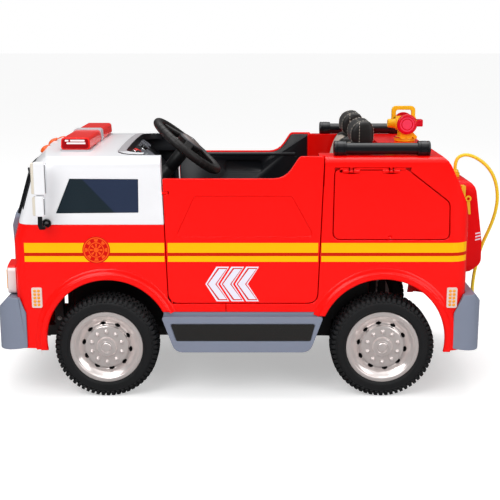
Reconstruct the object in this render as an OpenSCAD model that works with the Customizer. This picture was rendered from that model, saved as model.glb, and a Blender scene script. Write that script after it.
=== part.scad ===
// Two-seat ride-on fire engine for children, battery driven.
// Millimetres, +X forward, +Y to the driver's side, +Z up, origin on the ground under the middle.

/* [Body] */
// Width of the body over its side panels
body_w = 640; // [540:5:780]
// Height of the top edge of the body sides
side_top = 665; // [620:5:760]
// Height of the top edge of the doors
door_top = 609; // [570:1:630]
// Height of the joint between the white cab and the red body
cab_split = 486; // [450:1:520]
// Lower edge of the doors
door_bottom = 271; // [258:1:300]
// Lower edge of the sills
sill_bottom = 246; // [236:1:255]
// Thickness of the moulded body walls
wall = 6; // [4:0.5:8]
// Thickness of a door with its liner
door_t = 30; // [22:1:40]
// Gap around each door and lid
seam = 2.5; // [2:0.5:4]
// Crown of the roof and the deck over their width
crown = 10; // [0:1:20]

/* [Wheels] */
// Distance between the axles
wheelbase = 756; // [660:2:920]
// Outer diameter of the tyres
wheel_d = 284; // [240:2:300]
// Width of the tyres
tyre_w = 76; // [60:1:90]
// Diameter of the chromed wheel rims
rim_d = 196; // [160:2:210]
// Step of the tyre's outer wall behind the body side
wheel_inset = 10; // [5:1:25]
// Axle diameter
axle_d = 12; // [10:0.5:16]
// Front axle to the front of the bumper
front_over = 318; // [300:1:360]
// Rear axle to the back of the water tank
rear_over = 308; // [290:1:350]

/* [Steering] */
// Mean radius of the steering wheel rim
steer_r = 104; // [85:1:115]
// Thickness of the steering wheel rim
steer_t = 25; // [18:1:30]
// Length of the steering arms on the knuckles
arm_l = 60; // [45:1:70]
// Distance of the kingpins from the wheels' mid planes
kingpin_in = 62; // [52:1:80]

/* [Seats] */
// Width of each seat
seat_w = 196; // [160:2:210]
// Distance of each seat's middle from the centre line
seat_y = 134; // [115:1:150]
// Height of the seat cushions' top
seat_z = 372; // [340:1:400]

/* [Deck] */
// Diameter of the deck rails
rail_d = 37; // [28:1:44]
// Length of the deck rails
rail_l = 255; // [200:5:290]
// Diameter of the nozzle barrel's bore
nozzle_bore = 14; // [8:1:18]
// Bore of the water tank's filler
filler_bore = 16; // [10:1:20]

/* [Hidden] */

red = "#e2140f";
white = "#f1f4f8";
grey = "#8790a0";
black = "#17181a";
amber = "#f09a1c";
yellow = "#f2c629";
steel = "#3a3d42";
chrome = "#cfd2d6";
$fn = 64;

half_w = body_w / 2;
wheel_r = wheel_d / 2;
front_x = (wheelbase + rear_over - front_over) / 2;   // front axle
rear_x = front_x - wheelbase;                         // rear axle
bumper_front = front_x + front_over;
tank_back = rear_x - rear_over;
wheel_y = half_w - wheel_inset - tyre_w / 2;          // middle plane of a wheel
kingpin_y = wheel_y - kingpin_in;

nose_x = front_x + 262;      // front of the red body on the centre line
nose_bow = 24;               // how far the corners fall back from it
screen_x = front_x + 256;    // the windscreen's plane at screen_z
screen_z = 500;
screen_lean = 17;
screen_bow = 38;
brow_x = front_x + 202;      // the roof's front edge at brow_z
brow_z = 650;
brow_lean = 42;
brow_bow = 34;
body_low = 143;              // lower edge of the front apron
tail_low = 136;              // lower edge of the rear apron
tail_x = rear_x - 235;       // back of the rear body on the centre line
seam_lean = 0.0356;          // the door seams' lean per millimetre of height
sill_joint = 45;             // where the front and rear shells meet in the sill

front_arch = [front_x - 9, 167, 168];     // x, z and radius of the wheel arches
rear_arch = [rear_x + 3, 167, 170];
flare_w = 19;                             // width of the raised lip round an arch
flare_out = 7;                            // how far it stands out

well_y = half_w - 72;                     // side of the seat well in the rear body
well_back = rear_x - 4;                   // back of the seat well
cab_open_x = front_x - 35;                // front of the opening in the cab roof
jamb = 40;                                // depth of the cab's sides at the opening
locker_d = 46;                            // depth of the side lockers

door_corner = 24;                         // radius of the doors' lower corners
pin_fit = 0.08;                           // radial clearance of the hinge pins

function front_seam(z) = front_x - 173 + (z - 300) * seam_lean;
function rear_seam(z) = rear_x + 181 - (z - 300) * seam_lean;

// ---- helpers ----

function unit(v) = v / norm(v);
function half_turn(a) = a > 180 ? a - 360 : a < -180 ? a + 360 : a;

// The arc that rounds corner b between a and c with radius r, in n steps
function fillet(a, b, c, r, n) = r <= 0 ? [b] :
    let (u = unit(a - b), w = unit(c - b), half = acos(u * w) / 2,
         middle = b + unit(u + w) * (r / sin(half)),
         p = b + u * (r / tan(half)) - middle,
         q = b + w * (r / tan(half)) - middle,
         start = atan2(p[1], p[0]),
         sweep = half_turn(atan2(q[1], q[0]) - start))
    [for (i = [0:n]) middle + r * [cos(start + sweep * i / n), sin(start + sweep * i / n)]];

// An outline of [x, y, corner radius] points with its corners rounded
function rounded(pts, n = 4) =
    [for (i = [0:len(pts) - 1])
        let (a = pts[(i + len(pts) - 1) % len(pts)], b = pts[i], c = pts[(i + 1) % len(pts)])
        each fillet([a[0], a[1]], [b[0], b[1]], [c[0], c[1]], b[2], n)];

// A side view outline of x and z, extruded across from y0 to y1
module across(y0, y1) {
    rotate([90, 0, 0]) translate([0, 0, -y1]) linear_extrude(y1 - y0) children();
}

// A front view outline of y and z, extruded along from x0 to x1
module along(x0, x1) {
    translate([x0, 0, 0]) rotate([90, 0, 90]) linear_extrude(x1 - x0) children();
}

module both_sides() {
    children();
    mirror([0, 1, 0]) children();
}

// A block given by its low and high corners
module block(low, high) {
    translate(low) cube(high - low);
}

// A block with its vertical edges rounded
module soft_block(low, high, r) {
    translate([0, 0, low[2]]) linear_extrude(high[2] - low[2])
        polygon(rounded([[low[0], low[1], r], [high[0], low[1], r],
                         [high[0], high[1], r], [low[0], high[1], r]]));
}

// A cylinder across the vehicle
module cross_cylinder(x, y0, y1, z, r) {
    translate([x, y0, z]) rotate([-90, 0, 0]) cylinder(r = r, h = y1 - y0);
}

// ---- the moulded body's common form, which its panels are cut from ----

// Plan outline with a front bowed in n facets a side; front is its foremost point, back its rearmost
function plan_outline(front, back, bow, in, n = 4) =
    let (w = half_w - in)
    rounded(concat(
        [for (i = [-n:n]) [front - in - bow * pow(i / n, 2), w * i / n, abs(i) == n ? 38 - in : 0]],
        [for (i = [4:-1:-4]) [back + in + 12 * pow(i / 4, 2), w * i / 4, abs(i) == 4 ? 48 - in : 0]]));

// A prism of the plan outline, leaning back by an angle about the height z
module leaning_prism(x, z, lean, bow, in, n) {
    translate([x, 0, z]) rotate([0, -lean, 0]) translate([0, 0, -900])
        linear_extrude(2700) polygon(plan_outline(0, -2600, bow, in, n));
}

// Cross section with a crowned top; in is the inset and drop lowers its open bottom
function cross_outline(in, drop) =
    let (w = half_w - in, top = side_top - in)
    rounded(concat(
        [[-w, -drop, 0], [w, -drop, 0], [w, top, 22 - in / 2]],
        [for (i = [3:-1:-3]) [w * i / 4, top + crown * (1 - pow(i / 4, 2)), 0]],
        [[-w, top, 22 - in / 2]]));

// Side view with the rounded tail
function tail_outline(in, drop) =
    let (top = side_top + crown - in)
    rounded([[front_x + 400, -drop, 0], [front_x + 400, top, 0],
             [rear_x - 152 + in, top, 58 - in], [rear_x - 213 + in, 545, 90],
             [tail_x + in, 430, 90], [tail_x + in, -drop, 0]]);

module body_form(in, drop) {
    intersection() {
        along(tail_x - 50, nose_x + 50) polygon(cross_outline(in, drop));
        across(-half_w - 50, half_w + 50) polygon(tail_outline(in, drop));
        translate([0, 0, -drop]) linear_extrude(side_top + 60 + drop)
            polygon(plan_outline(nose_x, tail_x, nose_bow, in));
        leaning_prism(screen_x, screen_z, screen_lean, screen_bow, in, 5);
        leaning_prism(brow_x, brow_z, brow_lean, brow_bow, in, 3);
    }
}

module body_skin() {
    difference() {
        body_form(0, 0);
        body_form(wall, 10);
    }
}

// Outline of a door in side view, grown by g, with its lower front corner's radius
module door_outline(g = 0, corner = door_corner) {
    offset(delta = g) polygon(rounded([
        [front_seam(door_bottom), door_bottom, corner],
        [front_seam(door_top), door_top, 3],
        [rear_x + 271, door_top, 55],
        [rear_x + 232, side_top + 3, 14],
        [rear_seam(side_top), side_top + 3, 4],
        [rear_seam(door_bottom), door_bottom, door_corner]]));
}

// The door's opening and everything above it, for cutting the shells apart; its lower
// front corner is tighter than the door's, so that the door's edge can swing past it
module door_cut_outline() {
    door_outline(seam, door_corner / 2);
    polygon([[front_seam(door_top) + seam, door_top - 20], [front_seam(side_top + 60) + seam, side_top + 60],
             [rear_seam(side_top + 60) - seam, side_top + 60], [rear_seam(door_top) - seam, door_top - 20]]);
}

module arch_cut(arch) {
    cross_cylinder(arch[0], -half_w - 40, half_w + 40, arch[1], arch[2]);
}

// The raised lip round a wheel arch, above the height low_front ahead of it and low_back behind it
module flare(arch, low_front, low_back) {
    difference() {
        intersection() {
            cross_cylinder(arch[0], half_w - wall, half_w + flare_out, arch[1], arch[2] + flare_w);
            union() {
                block([arch[0], half_w - 40, low_front], [arch[0] + 300, half_w + 40, 500]);
                block([arch[0] - 300, half_w - 40, low_back], [arch[0], half_w + 40, 500]);
            }
        }
        cross_cylinder(arch[0], half_w - 60, half_w + 60, arch[1], arch[2]);
    }
}

// ---- body panels ----

module front_shell() color(red) {
    difference() {
        union() {
            intersection() {
                body_skin();
                across(-half_w - 20, half_w + 20) difference() {
                    polygon([[sill_joint + 0.5, sill_bottom], [sill_joint + 0.5, cab_split], [nose_x + 40, cab_split],
                             [nose_x + 40, body_low], [front_arch[0], body_low], [front_arch[0], sill_bottom]]);
                    door_cut_outline();
                }
            }
            both_sides() {
                flare(front_arch, body_low - 5, sill_bottom);
                // sill under the door
                block([sill_joint + 0.5, half_w - door_t, sill_bottom],
                      [front_seam(sill_bottom) - 30, half_w - wall / 2, door_bottom - seam]);
                // jamb behind the wheel
                intersection() {
                    block([front_seam(door_bottom) + seam, half_w - jamb, sill_bottom],
                          [front_seam(cab_split) + seam + wall, half_w - wall / 2, cab_split]);
                    body_form(wall / 2, 0);
                }
            }
            // firewall across the footwell
            intersection() {
                block([front_x + 150, -half_w, 330], [front_x + 150 + wall, half_w, cab_split - 2]);
                body_form(wall / 2, 0);
            }
        }
        arch_cut(front_arch);
        door_room();
    }
}

hinge_in = [8, 6];        // door hinge line behind the seam and inside the skin
hinge_pin_r = 2.5;
hinge_tab_z = door_top - 40;

// A place on the left door's leaning hinge line, with its Z along the line
module on_door_hinge(z) {
    translate([front_seam(z) - hinge_in[0], half_w - hinge_in[1], z])
        rotate([0, atan(seam_lean), 0]) children();
}

// Tab on the cab's jamb that the door's upper pin turns in
module door_hinge_tab(g = 0) {
    on_door_hinge(hinge_tab_z) {
        translate([0, 0, -g]) cylinder(r = 5 + g, h = 5 + 2 * g);
        block([0, -5 - g, -g], [hinge_in[0] + seam + 8, 5 + g, 5 + g]);
    }
}

// Space that the doors need inside the seams
module door_room() {
    both_sides() {
        across(half_w - door_t - 1, half_w + 20) door_cut_outline();
        // lower hinge bore in the sill
        on_door_hinge(sill_bottom - 10) cylinder(r = hinge_pin_r + pin_fit, h = 40);
    }
}

module window_outline(g = 0) {
    offset(delta = g) polygon([[front_x + 82, door_top], [front_x - 98, door_top - 1],
                               [front_x - 97, door_top - 90], [front_x + 121, door_top - 92]]);
}

module cab_shell() color(white) {
    difference() {
        union() {
            intersection() {
                body_skin();
                block([front_seam(cab_split) - 60, -half_w - 10, cab_split + 0.5],
                      [nose_x + 40, half_w + 10, side_top + 60]);
            }
            both_sides() intersection() {
                union() {
                    // rear jamb
                    block([front_seam(cab_split) - 10, half_w - jamb, cab_split + 0.5],
                          [front_seam(side_top) + seam + wall, half_w - wall / 2, side_top + 20]);
                    // inner wall and top flange of the cab's side
                    along(front_seam(cab_split) - 10, cab_open_x + 20) polygon([
                        [half_w - jamb, door_top + 4], [half_w - jamb + 4, door_top + 4],
                        [half_w - jamb + 4, side_top - 8], [half_w - wall / 2, side_top - 8],
                        [half_w - wall / 2, side_top + 20], [half_w - jamb, side_top + 20]]);
                }
                body_form(wall / 2, 0);
            }
            both_sides() door_hinge_tab();
        }
        difference() {
            across(-half_w - 20, half_w + 20) door_cut_outline();
            both_sides() door_hinge_tab(1);
        }
        both_sides() on_door_hinge(hinge_tab_z - 10) cylinder(r = hinge_pin_r + pin_fit, h = 30);
        // opening over the dashboard
        translate([0, 0, side_top - 90]) linear_extrude(200)
            polygon(rounded([[front_seam(side_top) - 40, half_w - jamb, 0], [cab_open_x, half_w - jamb, 60],
                             [cab_open_x, jamb - half_w, 60], [front_seam(side_top) - 40, jamb - half_w, 0]]));
        across(-half_w - 20, half_w + 20) window_outline(0.3);
        screen_panel(0.3, 240, 504, 628);
        screen_hole(220, 518, 612);
    }
}

// Blocks in the windscreen's leaning frame, u up the slope from screen_z
module screen_hole(w, z0, z1) {
    translate([screen_x, 0, screen_z]) rotate([0, -screen_lean, 0])
        block([-80, -w, (z0 - screen_z) / cos(screen_lean)], [60, w, (z1 - screen_z) / cos(screen_lean)]);
}

// The windscreen's bowed black panel, grown all round by g
module screen_panel(g, w, z0, z1) {
    intersection() {
        difference() {
            leaning_prism(screen_x + 9 + g, screen_z, screen_lean, screen_bow, 0, 5);
            leaning_prism(screen_x - 3 - g, screen_z, screen_lean, screen_bow, 0, 5);
        }
        translate([screen_x, 0, screen_z]) rotate([0, -screen_lean, 0]) rotate([90, 0, 90])
            translate([0, 0, -120]) linear_extrude(200) offset(delta = g)
                polygon(rounded([[-w, (z0 - screen_z) / cos(screen_lean), 14],
                                 [w, (z0 - screen_z) / cos(screen_lean), 14],
                                 [w - 16, (z1 - screen_z) / cos(screen_lean), 20],
                                 [16 - w, (z1 - screen_z) / cos(screen_lean), 20]]));
    }
}

module windscreen() color(black) screen_panel(0, 240, 504, 628);

module side_windows() color(black)
    both_sides() across(half_w - wall + 1, half_w - 1) window_outline();

// Front panel of the nose between the headlamps
module grille_outline(g = 0) {
    offset(delta = g) polygon(rounded([[-150, 292, 10], [150, 292, 10], [205, 497, 14], [-205, 497, 14]]));
}

module grille() color(grey) {
    difference() {
        intersection() {
            difference() {
                translate([0, 0, 200]) linear_extrude(400)
                    polygon(plan_outline(nose_x + 14, tail_x, nose_bow, 0));
                body_form(-0.3, 10);
            }
            along(nose_x - 60, nose_x + 60) grille_outline();
            leaning_prism(screen_x + 14, screen_z, screen_lean, screen_bow, 0, 5);
        }
        for (i = [0:4])
            along(nose_x + 6, nose_x + 60) polygon(rounded([
                [-120 - 8 * i, 318 + 32 * i, 6], [120 + 8 * i, 318 + 32 * i, 6],
                [123 + 8 * i, 334 + 32 * i, 6], [-123 - 8 * i, 334 + 32 * i, 6]]));
    }
}

module headlights() color(red) both_sides() {
    difference() {
        intersection() {
            along(nose_x - 80, nose_x + 60) polygon(rounded([[178, 288, 16], [292, 288, 16], [292, 366, 16], [186, 366, 16]]));
            translate([0, 0, 200]) linear_extrude(400) polygon(plan_outline(nose_x + 24, tail_x, nose_bow, 0));
        }
        body_form(-0.3, 10);
    }
}

// ---- bumpers and steps ----

module front_bumper() color(grey) {
    difference() {
        intersection() {
            across(-half_w - 8, half_w + 8) polygon(rounded([
                [front_x + 213, 145, 4], [front_x + 213, 243, 4], [front_x + 230, 284, 4],
                [front_x + 262, 286, 4], [front_x + 306, 240, 12],
                [bumper_front, 226, 10], [bumper_front, 152, 16], [front_x + 296, 132, 14]]));
            translate([0, 0, 90]) linear_extrude(220)
                polygon(bumper_plan(bumper_front, 26, 70, half_w + 2, front_x - 200));
        }
        body_form(-0.3, 200);
        // hollow back
        translate([0, 0, 90]) linear_extrude(120)
            polygon(bumper_plan(bumper_front - 8, 26, 66, half_w - 5, front_x - 200));
    }
}

// Plan outline of a bumper: bowed front face, big corners and straight sides
function bumper_plan(front, bow, r, w, back) =
    rounded(concat([[back, -w, 0]],
        [for (i = [-3:3]) [front - bow * pow(i / 3, 2), w * i / 3, abs(i) == 3 ? r : 0]],
        [[back, w, 0]]), 6);

module rear_bumper() color(grey) {
    difference() {
        intersection() {
            across(-half_w - 8, half_w + 8) polygon(rounded([
                [rear_x - 189, 142, 4], [rear_x - 189, 243, 4], [rear_x - 214, 292, 6],
                [tail_x - 14, 292, 6], [tail_x - 52, 244, 12], [tail_x - 56, 150, 14],
                [tail_x - 44, 128, 12]]));
            mirror([1, 0, 0]) translate([0, 0, 100]) linear_extrude(220)
                polygon(bumper_plan(-tail_x + 56, 30, 60, half_w + 2, -rear_x - 200));
        }
        body_form(-0.3, 200);
        mirror([1, 0, 0]) translate([0, 0, 100]) linear_extrude(112)
            polygon(bumper_plan(-tail_x + 48, 30, 56, half_w - 5, -rear_x - 200));
        tail_lamp_pockets();
    }
}

module tail_lamp_pockets(g = 0.3) {
    both_sides() translate([tail_x - 70, half_w - 120, 212]) rotate([0, 90, 0])
        cylinder(r = 17 + g, h = 40);
}

module tail_lamps() color(amber) both_sides() intersection() {
    translate([tail_x - 70, half_w - 120, 212]) rotate([0, 90, 0]) cylinder(r = 17, h = 40);
    mirror([1, 0, 0]) translate([0, 0, 100]) linear_extrude(220) difference() {
        polygon(bumper_plan(-tail_x + 60, 30, 60, half_w + 2, -rear_x - 200));
        polygon(bumper_plan(-tail_x + 49, 30, 56, half_w - 5, -rear_x - 200));
    }
}

module side_steps() color(grey) both_sides() {
    difference() {
        across(half_w - 58, half_w + 10) polygon(rounded([
            [front_x - 153, sill_bottom - 12, 6], [rear_x + 164, sill_bottom - 12, 6],
            [rear_x + 200, 134, 28], [front_x - 189, 134, 28]]));
        block([rear_x + 206, half_w - 53, 120], [front_x - 195, half_w + 5, sill_bottom - 18]);
    }
    // hangers up to the sill
    for (x = [rear_x + 260, front_x - 240])
        block([x - 12, half_w - 28, sill_bottom - 12], [x + 12, half_w - 10, sill_bottom]);
}

// ---- rear body ----

// The side locker's lid in side view, grown by g
module lid_outline(g = 0) {
    offset(delta = g) polygon(rounded([
        [rear_x + 139, 633, 12], [rear_x - 50, 633, 16], [rear_x - 165, 545, 24],
        [rear_x - 167, 447, 14], [rear_x + 141, 447, 18]]));
}

lid_hinge_z = 633;
lid_t = 8;

module rear_shell() color(red) {
    both_sides() lid_hinge_bosses();
    difference() {
        union() {
            intersection() {
                body_skin();
                across(-half_w - 20, half_w + 20) difference() {
                    polygon([[sill_joint - 0.5, sill_bottom], [sill_joint - 0.5, side_top + 60], [tail_x - 40, side_top + 60],
                             [tail_x - 40, tail_low], [rear_arch[0], tail_low], [rear_arch[0], sill_bottom]]);
                    door_cut_outline();
                }
            }
            both_sides() {
                flare(rear_arch, sill_bottom - 12, tail_low - 3);
                block([rear_seam(sill_bottom) + 30, half_w - door_t, sill_bottom],
                      [sill_joint - 0.5, half_w - wall / 2, door_bottom - seam]);
                // jamb, the seat well's side and the locker box
                intersection() {
                    union() {
                        block([rear_seam(side_top) - seam - wall, well_y, sill_bottom],
                              [rear_seam(door_bottom) - seam, half_w - wall / 2, side_top + 20]);
                        block([well_back - wall, well_y, 400], [rear_seam(side_top) - seam, well_y + 4, side_top + 20]);
                        locker_box(4);
                    }
                    body_form(0.01, 0);
                }
            }
            // back of the seat well
            intersection() {
                block([well_back - wall, -half_w + 1, 330], [well_back, half_w - 1, side_top + 20]);
                body_form(wall / 2, 0);
            }
        }
        arch_cut(rear_arch);
        door_room();
        // monitor's pivot
        translate([monitor_x, 0, side_top - 20]) cylinder(r = 7, h = 60);
        // seat well
        block([well_back, -well_y, 420], [front_x, well_y, side_top + 60]);
        both_sides() {
            locker_box(0);
            across(half_w - lid_t - 1, half_w + 20) lid_outline(seam);
            // room for the lid's top edge as it turns
            translate([rear_x - 60, lid_axis[0], lid_axis[1]]) rotate([0, 90, 0]) cylinder(r = 10, h = 200);
        }
    }
}

// Inside of a side locker, with walls of thickness g round it
module locker_box(g) {
    across(half_w - locker_d - g, half_w - wall / 2 + (g > 0 ? 0 : 20)) offset(delta = g) lid_outline(-7);
}

lid_hinges = [rear_x + 97, rear_x - 8];    // middles of the two hinges
lid_axis = [half_w - 1, lid_hinge_z - 4];  // y and z of the hinge line
lid_pin_r = 1.5;

module locker_lid() {
    difference() {
        union() {
            across(half_w - lid_t, half_w - 0.5) lid_outline();
            for (x = lid_hinges, s = [-1, 1])
                translate([x + s * 14 - 8, lid_axis[0], lid_axis[1]]) rotate([0, 90, 0]) cylinder(r = 4, h = 16);
        }
        for (x = lid_hinges) {
            block([x - 6, half_w - 20, lid_axis[1] - 6], [x + 6, half_w + 20, lid_axis[1] + 20]);
            translate([x - 30, lid_axis[0], lid_axis[1]]) rotate([0, 90, 0]) cylinder(r = lid_pin_r + pin_fit, h = 60);
        }
        // finger notch
        translate([rear_x - 10, half_w, 452]) sphere(d = 12);
    }
}

// The rear shell's half of the lid hinges
module lid_hinge_bosses() {
    for (x = lid_hinges) {
        block([x - 5, lid_axis[0] - 3, lid_axis[1]], [x + 5, lid_axis[0] + 1, lid_axis[1] + 12]);
        translate([x - 5, lid_axis[0], lid_axis[1]]) rotate([0, 90, 0]) cylinder(r = 4, h = 10);
        translate([x - 22, lid_axis[0], lid_axis[1]]) rotate([0, 90, 0]) cylinder(r = lid_pin_r, h = 44);
    }
}

// ---- inside of the cab ----

tub_low = 150.3;           // under side of the floor, on the frame's rails

// The floor's outer form, or its hollow when inset by in
module tub_form(in) {
    up = in > 0 ? 200 : 0;
    // footwell, narrow where the steps are and wide above them
    soft_block([rear_x + 184 + in, in + 62 - half_w, tub_low + in],
               [front_x - 177 - in, half_w - 62 - in, sill_bottom + up], 16);
    soft_block([rear_x + 184 + in, in + door_t + 0.5 - half_w, sill_bottom - 8 + in],
               [front_x - 177 - in, half_w - door_t - 0.5 - in, door_bottom - seam + up], 12);
    // floor back to the seat box
    block([rear_x + 134, in + 92 - half_w, tub_low + in],
          [rear_x + 210, half_w - 92 - in, door_bottom - seam + up]);
    // foot room between the front wheels
    soft_block([front_x - 220, in - 140, tub_low + in], [front_x + 120 - in, 140 - in, 330 + up], 12);
}

module floor_tub() color(black) {
    difference() {
        tub_form(0);
        tub_form(wall);
    }
    // seat box
    difference() {
        soft_block([rear_x + 30, 90 - half_w, 200], [rear_x + 140, half_w - 90, seat_z - 60.3], 12);
        block([rear_x + 36, 96 - half_w, 190], [rear_x + 134, half_w - 96, seat_z - 66.3]);
    }
    // back of the footwell, up to the seat box
    block([rear_x + 134, 92 - half_w, tub_low], [rear_x + 140, half_w - 92, seat_z - 80]);
}

module dashboard() color(black) {
    intersection() {
        difference() {
            across(-half_w + jamb + 4, half_w - jamb - 4) polygon(rounded([
                [front_x + 110, 400, 4], [front_x + 110, side_top - 24, 4], [cab_open_x - 2, side_top - 14, 6],
                [cab_open_x - 26, side_top - 22, 10], [front_x - 128, 575, 30], [front_x - 118, 470, 20],
                [front_x - 60, 400, 10]]));
            across(-half_w + jamb + 10, half_w - jamb - 10) polygon([
                [front_x + 104, 390], [front_x + 104, side_top - 30], [cab_open_x - 8, side_top - 22],
                [cab_open_x - 24, side_top - 30], [front_x - 120, 570], [front_x - 110, 474], [front_x - 56, 390]]);
            steering_bore(19);
        }
        body_form(wall + 2, 0);
    }
}

// Gray hood over the instruments, following the opening's front edge
module instrument_cowl() color(grey) {
    difference() {
        translate([0, 0, side_top - 14]) linear_extrude(34) difference() {
            polygon(cowl_plan(0.5));
            polygon(cowl_plan(22));
        }
        // its top follows the roof's crown and slopes to the rear
        along(cab_open_x - 200, cab_open_x + 50) polygon(concat(
            [for (i = [-4:4]) [half_w * i / 4, side_top + 4 + crown * (1 - pow(i / 4, 2))]],
            [[half_w, side_top + 90], [-half_w, side_top + 90]]));
    }
}

function cowl_plan(in) = rounded([
    [cab_open_x - 75, half_w - jamb - in, 0], [cab_open_x - in, half_w - jamb - in, 60 - in / 2],
    [cab_open_x - in, jamb - half_w + in, 60 - in / 2], [cab_open_x - 75, jamb - half_w + in, 0]]);

// ---- steering ----

steer_tilt = 39.3;                          // tilt of the steering wheel from level
steer_hub = [front_x - 218, seat_y + 4, 675];

// Everything on the column is drawn with its axis up and then tilted
module on_column() {
    translate(steer_hub) rotate([0, -steer_tilt, 0]) children();
}

module steering_bore(r) {
    on_column() translate([0, 0, -260]) cylinder(r = r, h = 230);
}

module steering_wheel() color(black) {
    on_column() {
        rotate_extrude() translate([steer_r, 0]) circle(d = steer_t, $fn = 32);
        translate([0, 0, -14]) cylinder(r1 = 30, r2 = 40, h = 22);
        for (a = [90, 210, 330])
            rotate([0, 0, a]) intersection() {
                block([20, -13, -9], [steer_r, 13, 3]);
                cylinder(r = steer_r - steer_t / 4, h = 40, center = true);
            }
        translate([0, 0, -50]) cylinder(r = 13, h = 40);
    }
}

module steering_column() color(black) {
    on_column() difference() {
        translate([0, 0, -215]) cylinder(r = 18.5, h = 190);
        translate([0, 0, -52]) cylinder(r = 13.3, h = 40);
    }
}

// ---- running gear ----

rail_low = 118;            // long rails of the frame
rail_top = 150;

module chassis() color(steel) difference() {
    chassis_frame();
    cross_cylinder(rear_x, -half_w, half_w, wheel_r, axle_d / 2 + 0.3);
}

module chassis_frame() {
    both_sides() {
        // long rails
        block([rear_x - 150, 92, rail_low], [front_x + 210, 118, rail_top]);
        // stays up to the front shell
        block([front_x + 150, 92, rail_top], [front_x + 176, 118, 329.7]);
        // stays up to the back of the seat well
        block([rear_x - 30, 92, rail_top], [rear_x - 10.3, 118, 420]);
    }
    for (x = [front_x + 186, front_x - 110, rear_x + 120, rear_x - 150])
        block([x, -118, rail_low], [x + 24, 118, rail_top]);
    // battery tray
    block([rear_x + 36, -100, rail_top - 4], [rear_x + 132, 100, rail_top]);
}

yoke_low = 84;             // lower face of the axle beam and its yokes

module front_axle() color(steel) {
    difference() {
        union() {
            block([front_x - 14, -kingpin_y, yoke_low], [front_x + 14, kingpin_y, yoke_low + 28]);
            both_sides() {
                translate([front_x, kingpin_y, yoke_low]) cylinder(r = 16, h = 28);
                translate([front_x, kingpin_y, yoke_low + 92]) cylinder(r = 16, h = 14);
                block([front_x - 14, 146, yoke_low], [front_x + 14, 164, yoke_low + 106]);
                block([front_x - 14, 146, yoke_low + 92], [front_x + 14, kingpin_y, yoke_low + 106]);
                // seats under the rails
                block([front_x - 14, 92, yoke_low + 20], [front_x + 14, 118, rail_low]);
            }
        }
        both_sides() translate([front_x, kingpin_y, 60]) cylinder(d = axle_d + 0.1, h = 160);
    }
}

arm_low = 114;             // lower face of the steering arms
pin_d = 8;                 // pins between the arms and the tie rod

// Knuckle with kingpin, stub axle and steering arm, drawn for the left side
module knuckle(side) {
    mirror([0, side < 0 ? 1 : 0, 0]) difference() {
        union() {
            translate([front_x, kingpin_y, yoke_low]) cylinder(d = axle_d, h = 106);
            translate([front_x, kingpin_y, arm_low]) cylinder(r = 15, h = 60);
            cross_cylinder(front_x, kingpin_y, wheel_y + tyre_w / 2 - 6, wheel_r, axle_d / 2);
            block([front_x - arm_l, kingpin_y - 8, arm_low], [front_x, kingpin_y + 8, arm_low + 8]);
            translate([front_x - arm_l, kingpin_y, arm_low]) cylinder(r = 11, h = 8);
        }
        translate([front_x - arm_l, kingpin_y, arm_low - 10]) cylinder(d = pin_d + 0.1, h = 30);
    }
}

module tie_rod() color(steel) {
    block([front_x - arm_l - 6, -kingpin_y, arm_low - 11], [front_x - arm_l + 6, kingpin_y, arm_low - 1]);
    both_sides() {
        translate([front_x - arm_l, kingpin_y, arm_low - 11]) cylinder(r = 11, h = 10);
        translate([front_x - arm_l, kingpin_y, arm_low - 11]) cylinder(d = pin_d, h = 19);
    }
}

module rear_axle() color(steel) {
    cross_cylinder(rear_x, 6 - wheel_y - tyre_w / 2, wheel_y + tyre_w / 2 - 6, wheel_r, axle_d / 2);
    both_sides() difference() {
        // saddles on the rails
        block([rear_x - 9, 88, rail_low - 6], [rear_x + 9, 122, rail_top + 6]);
        block([rear_x - 30, 91.7, rail_low - 0.3], [rear_x + 30, 118.3, rail_top + 0.3]);
    }
}

module drive_gearboxes() color(black) both_sides() difference() {
    union() {
        cross_cylinder(rear_x, 126, wheel_y - tyre_w / 2 - 6, wheel_r, 46);
        soft_block([rear_x + 10, 126, wheel_r - 30], [rear_x + 96, wheel_y - tyre_w / 2 - 26, wheel_r + 30], 12);
    }
    cross_cylinder(rear_x, 100, half_w, wheel_r, axle_d / 2 + 0.3);
}

module battery() color(black)
    soft_block([rear_x + 44, -75, rail_top], [rear_x + 124, 75, rail_top + 94], 6);

// Tyre: true tread cylinder, rounded shoulders and walls, with its middle at the origin
module tyre_form() color(black) {
    bead = rim_d / 2 - 4;
    rotate([-90, 0, 0]) rotate_extrude() polygon(rounded([
        [bead, -tyre_w / 2 + 10, 2], [rim_d / 2 + 8, -tyre_w / 2, 6], [wheel_r - 16, -tyre_w / 2, 12],
        [wheel_r, -tyre_w / 2 + 14, 5], [wheel_r, tyre_w / 2 - 14, 5], [wheel_r - 16, tyre_w / 2, 12],
        [rim_d / 2 + 8, tyre_w / 2, 6], [bead, tyre_w / 2 - 10, 2]]));
}

// Rim: dished chromed cap with an outer flange; its face looks along +Y
module rim_form() color(chrome) {
    r = rim_d / 2 - 4.3;
    face = tyre_w / 2;
    difference() {
        rotate([-90, 0, 0]) rotate_extrude() polygon([
            [axle_d / 2 + 0.3, -face + 12], [r, -face + 12], [r, face - 9.6], [rim_d / 2 + 2, face + 1],
            [rim_d / 2, face + 3], [rim_d / 2 - 12, face - 2], [rim_d / 2 - 22, face - 16],
            [rim_d / 2 - 38, face - 18], [rim_d / 2 - 44, face - 8], [34, face - 8],
            [30, face], [20, face + 3], [axle_d / 2 + 0.3, face + 3]]);
        // hand holes round the dish
        for (i = [0:9])
            rotate([0, 36 * i, 0]) translate([rim_d / 2 - 30, 0, 0]) rotate([-90, 0, 0])
                cylinder(r = 6, h = face * 3, center = true, $fn = 24);
    }
}

module at_wheel(x, side) {
    translate([x, side * wheel_y, wheel_r]) mirror([0, side < 0 ? 1 : 0, 0]) children();
}

// ---- seats ----

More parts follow.
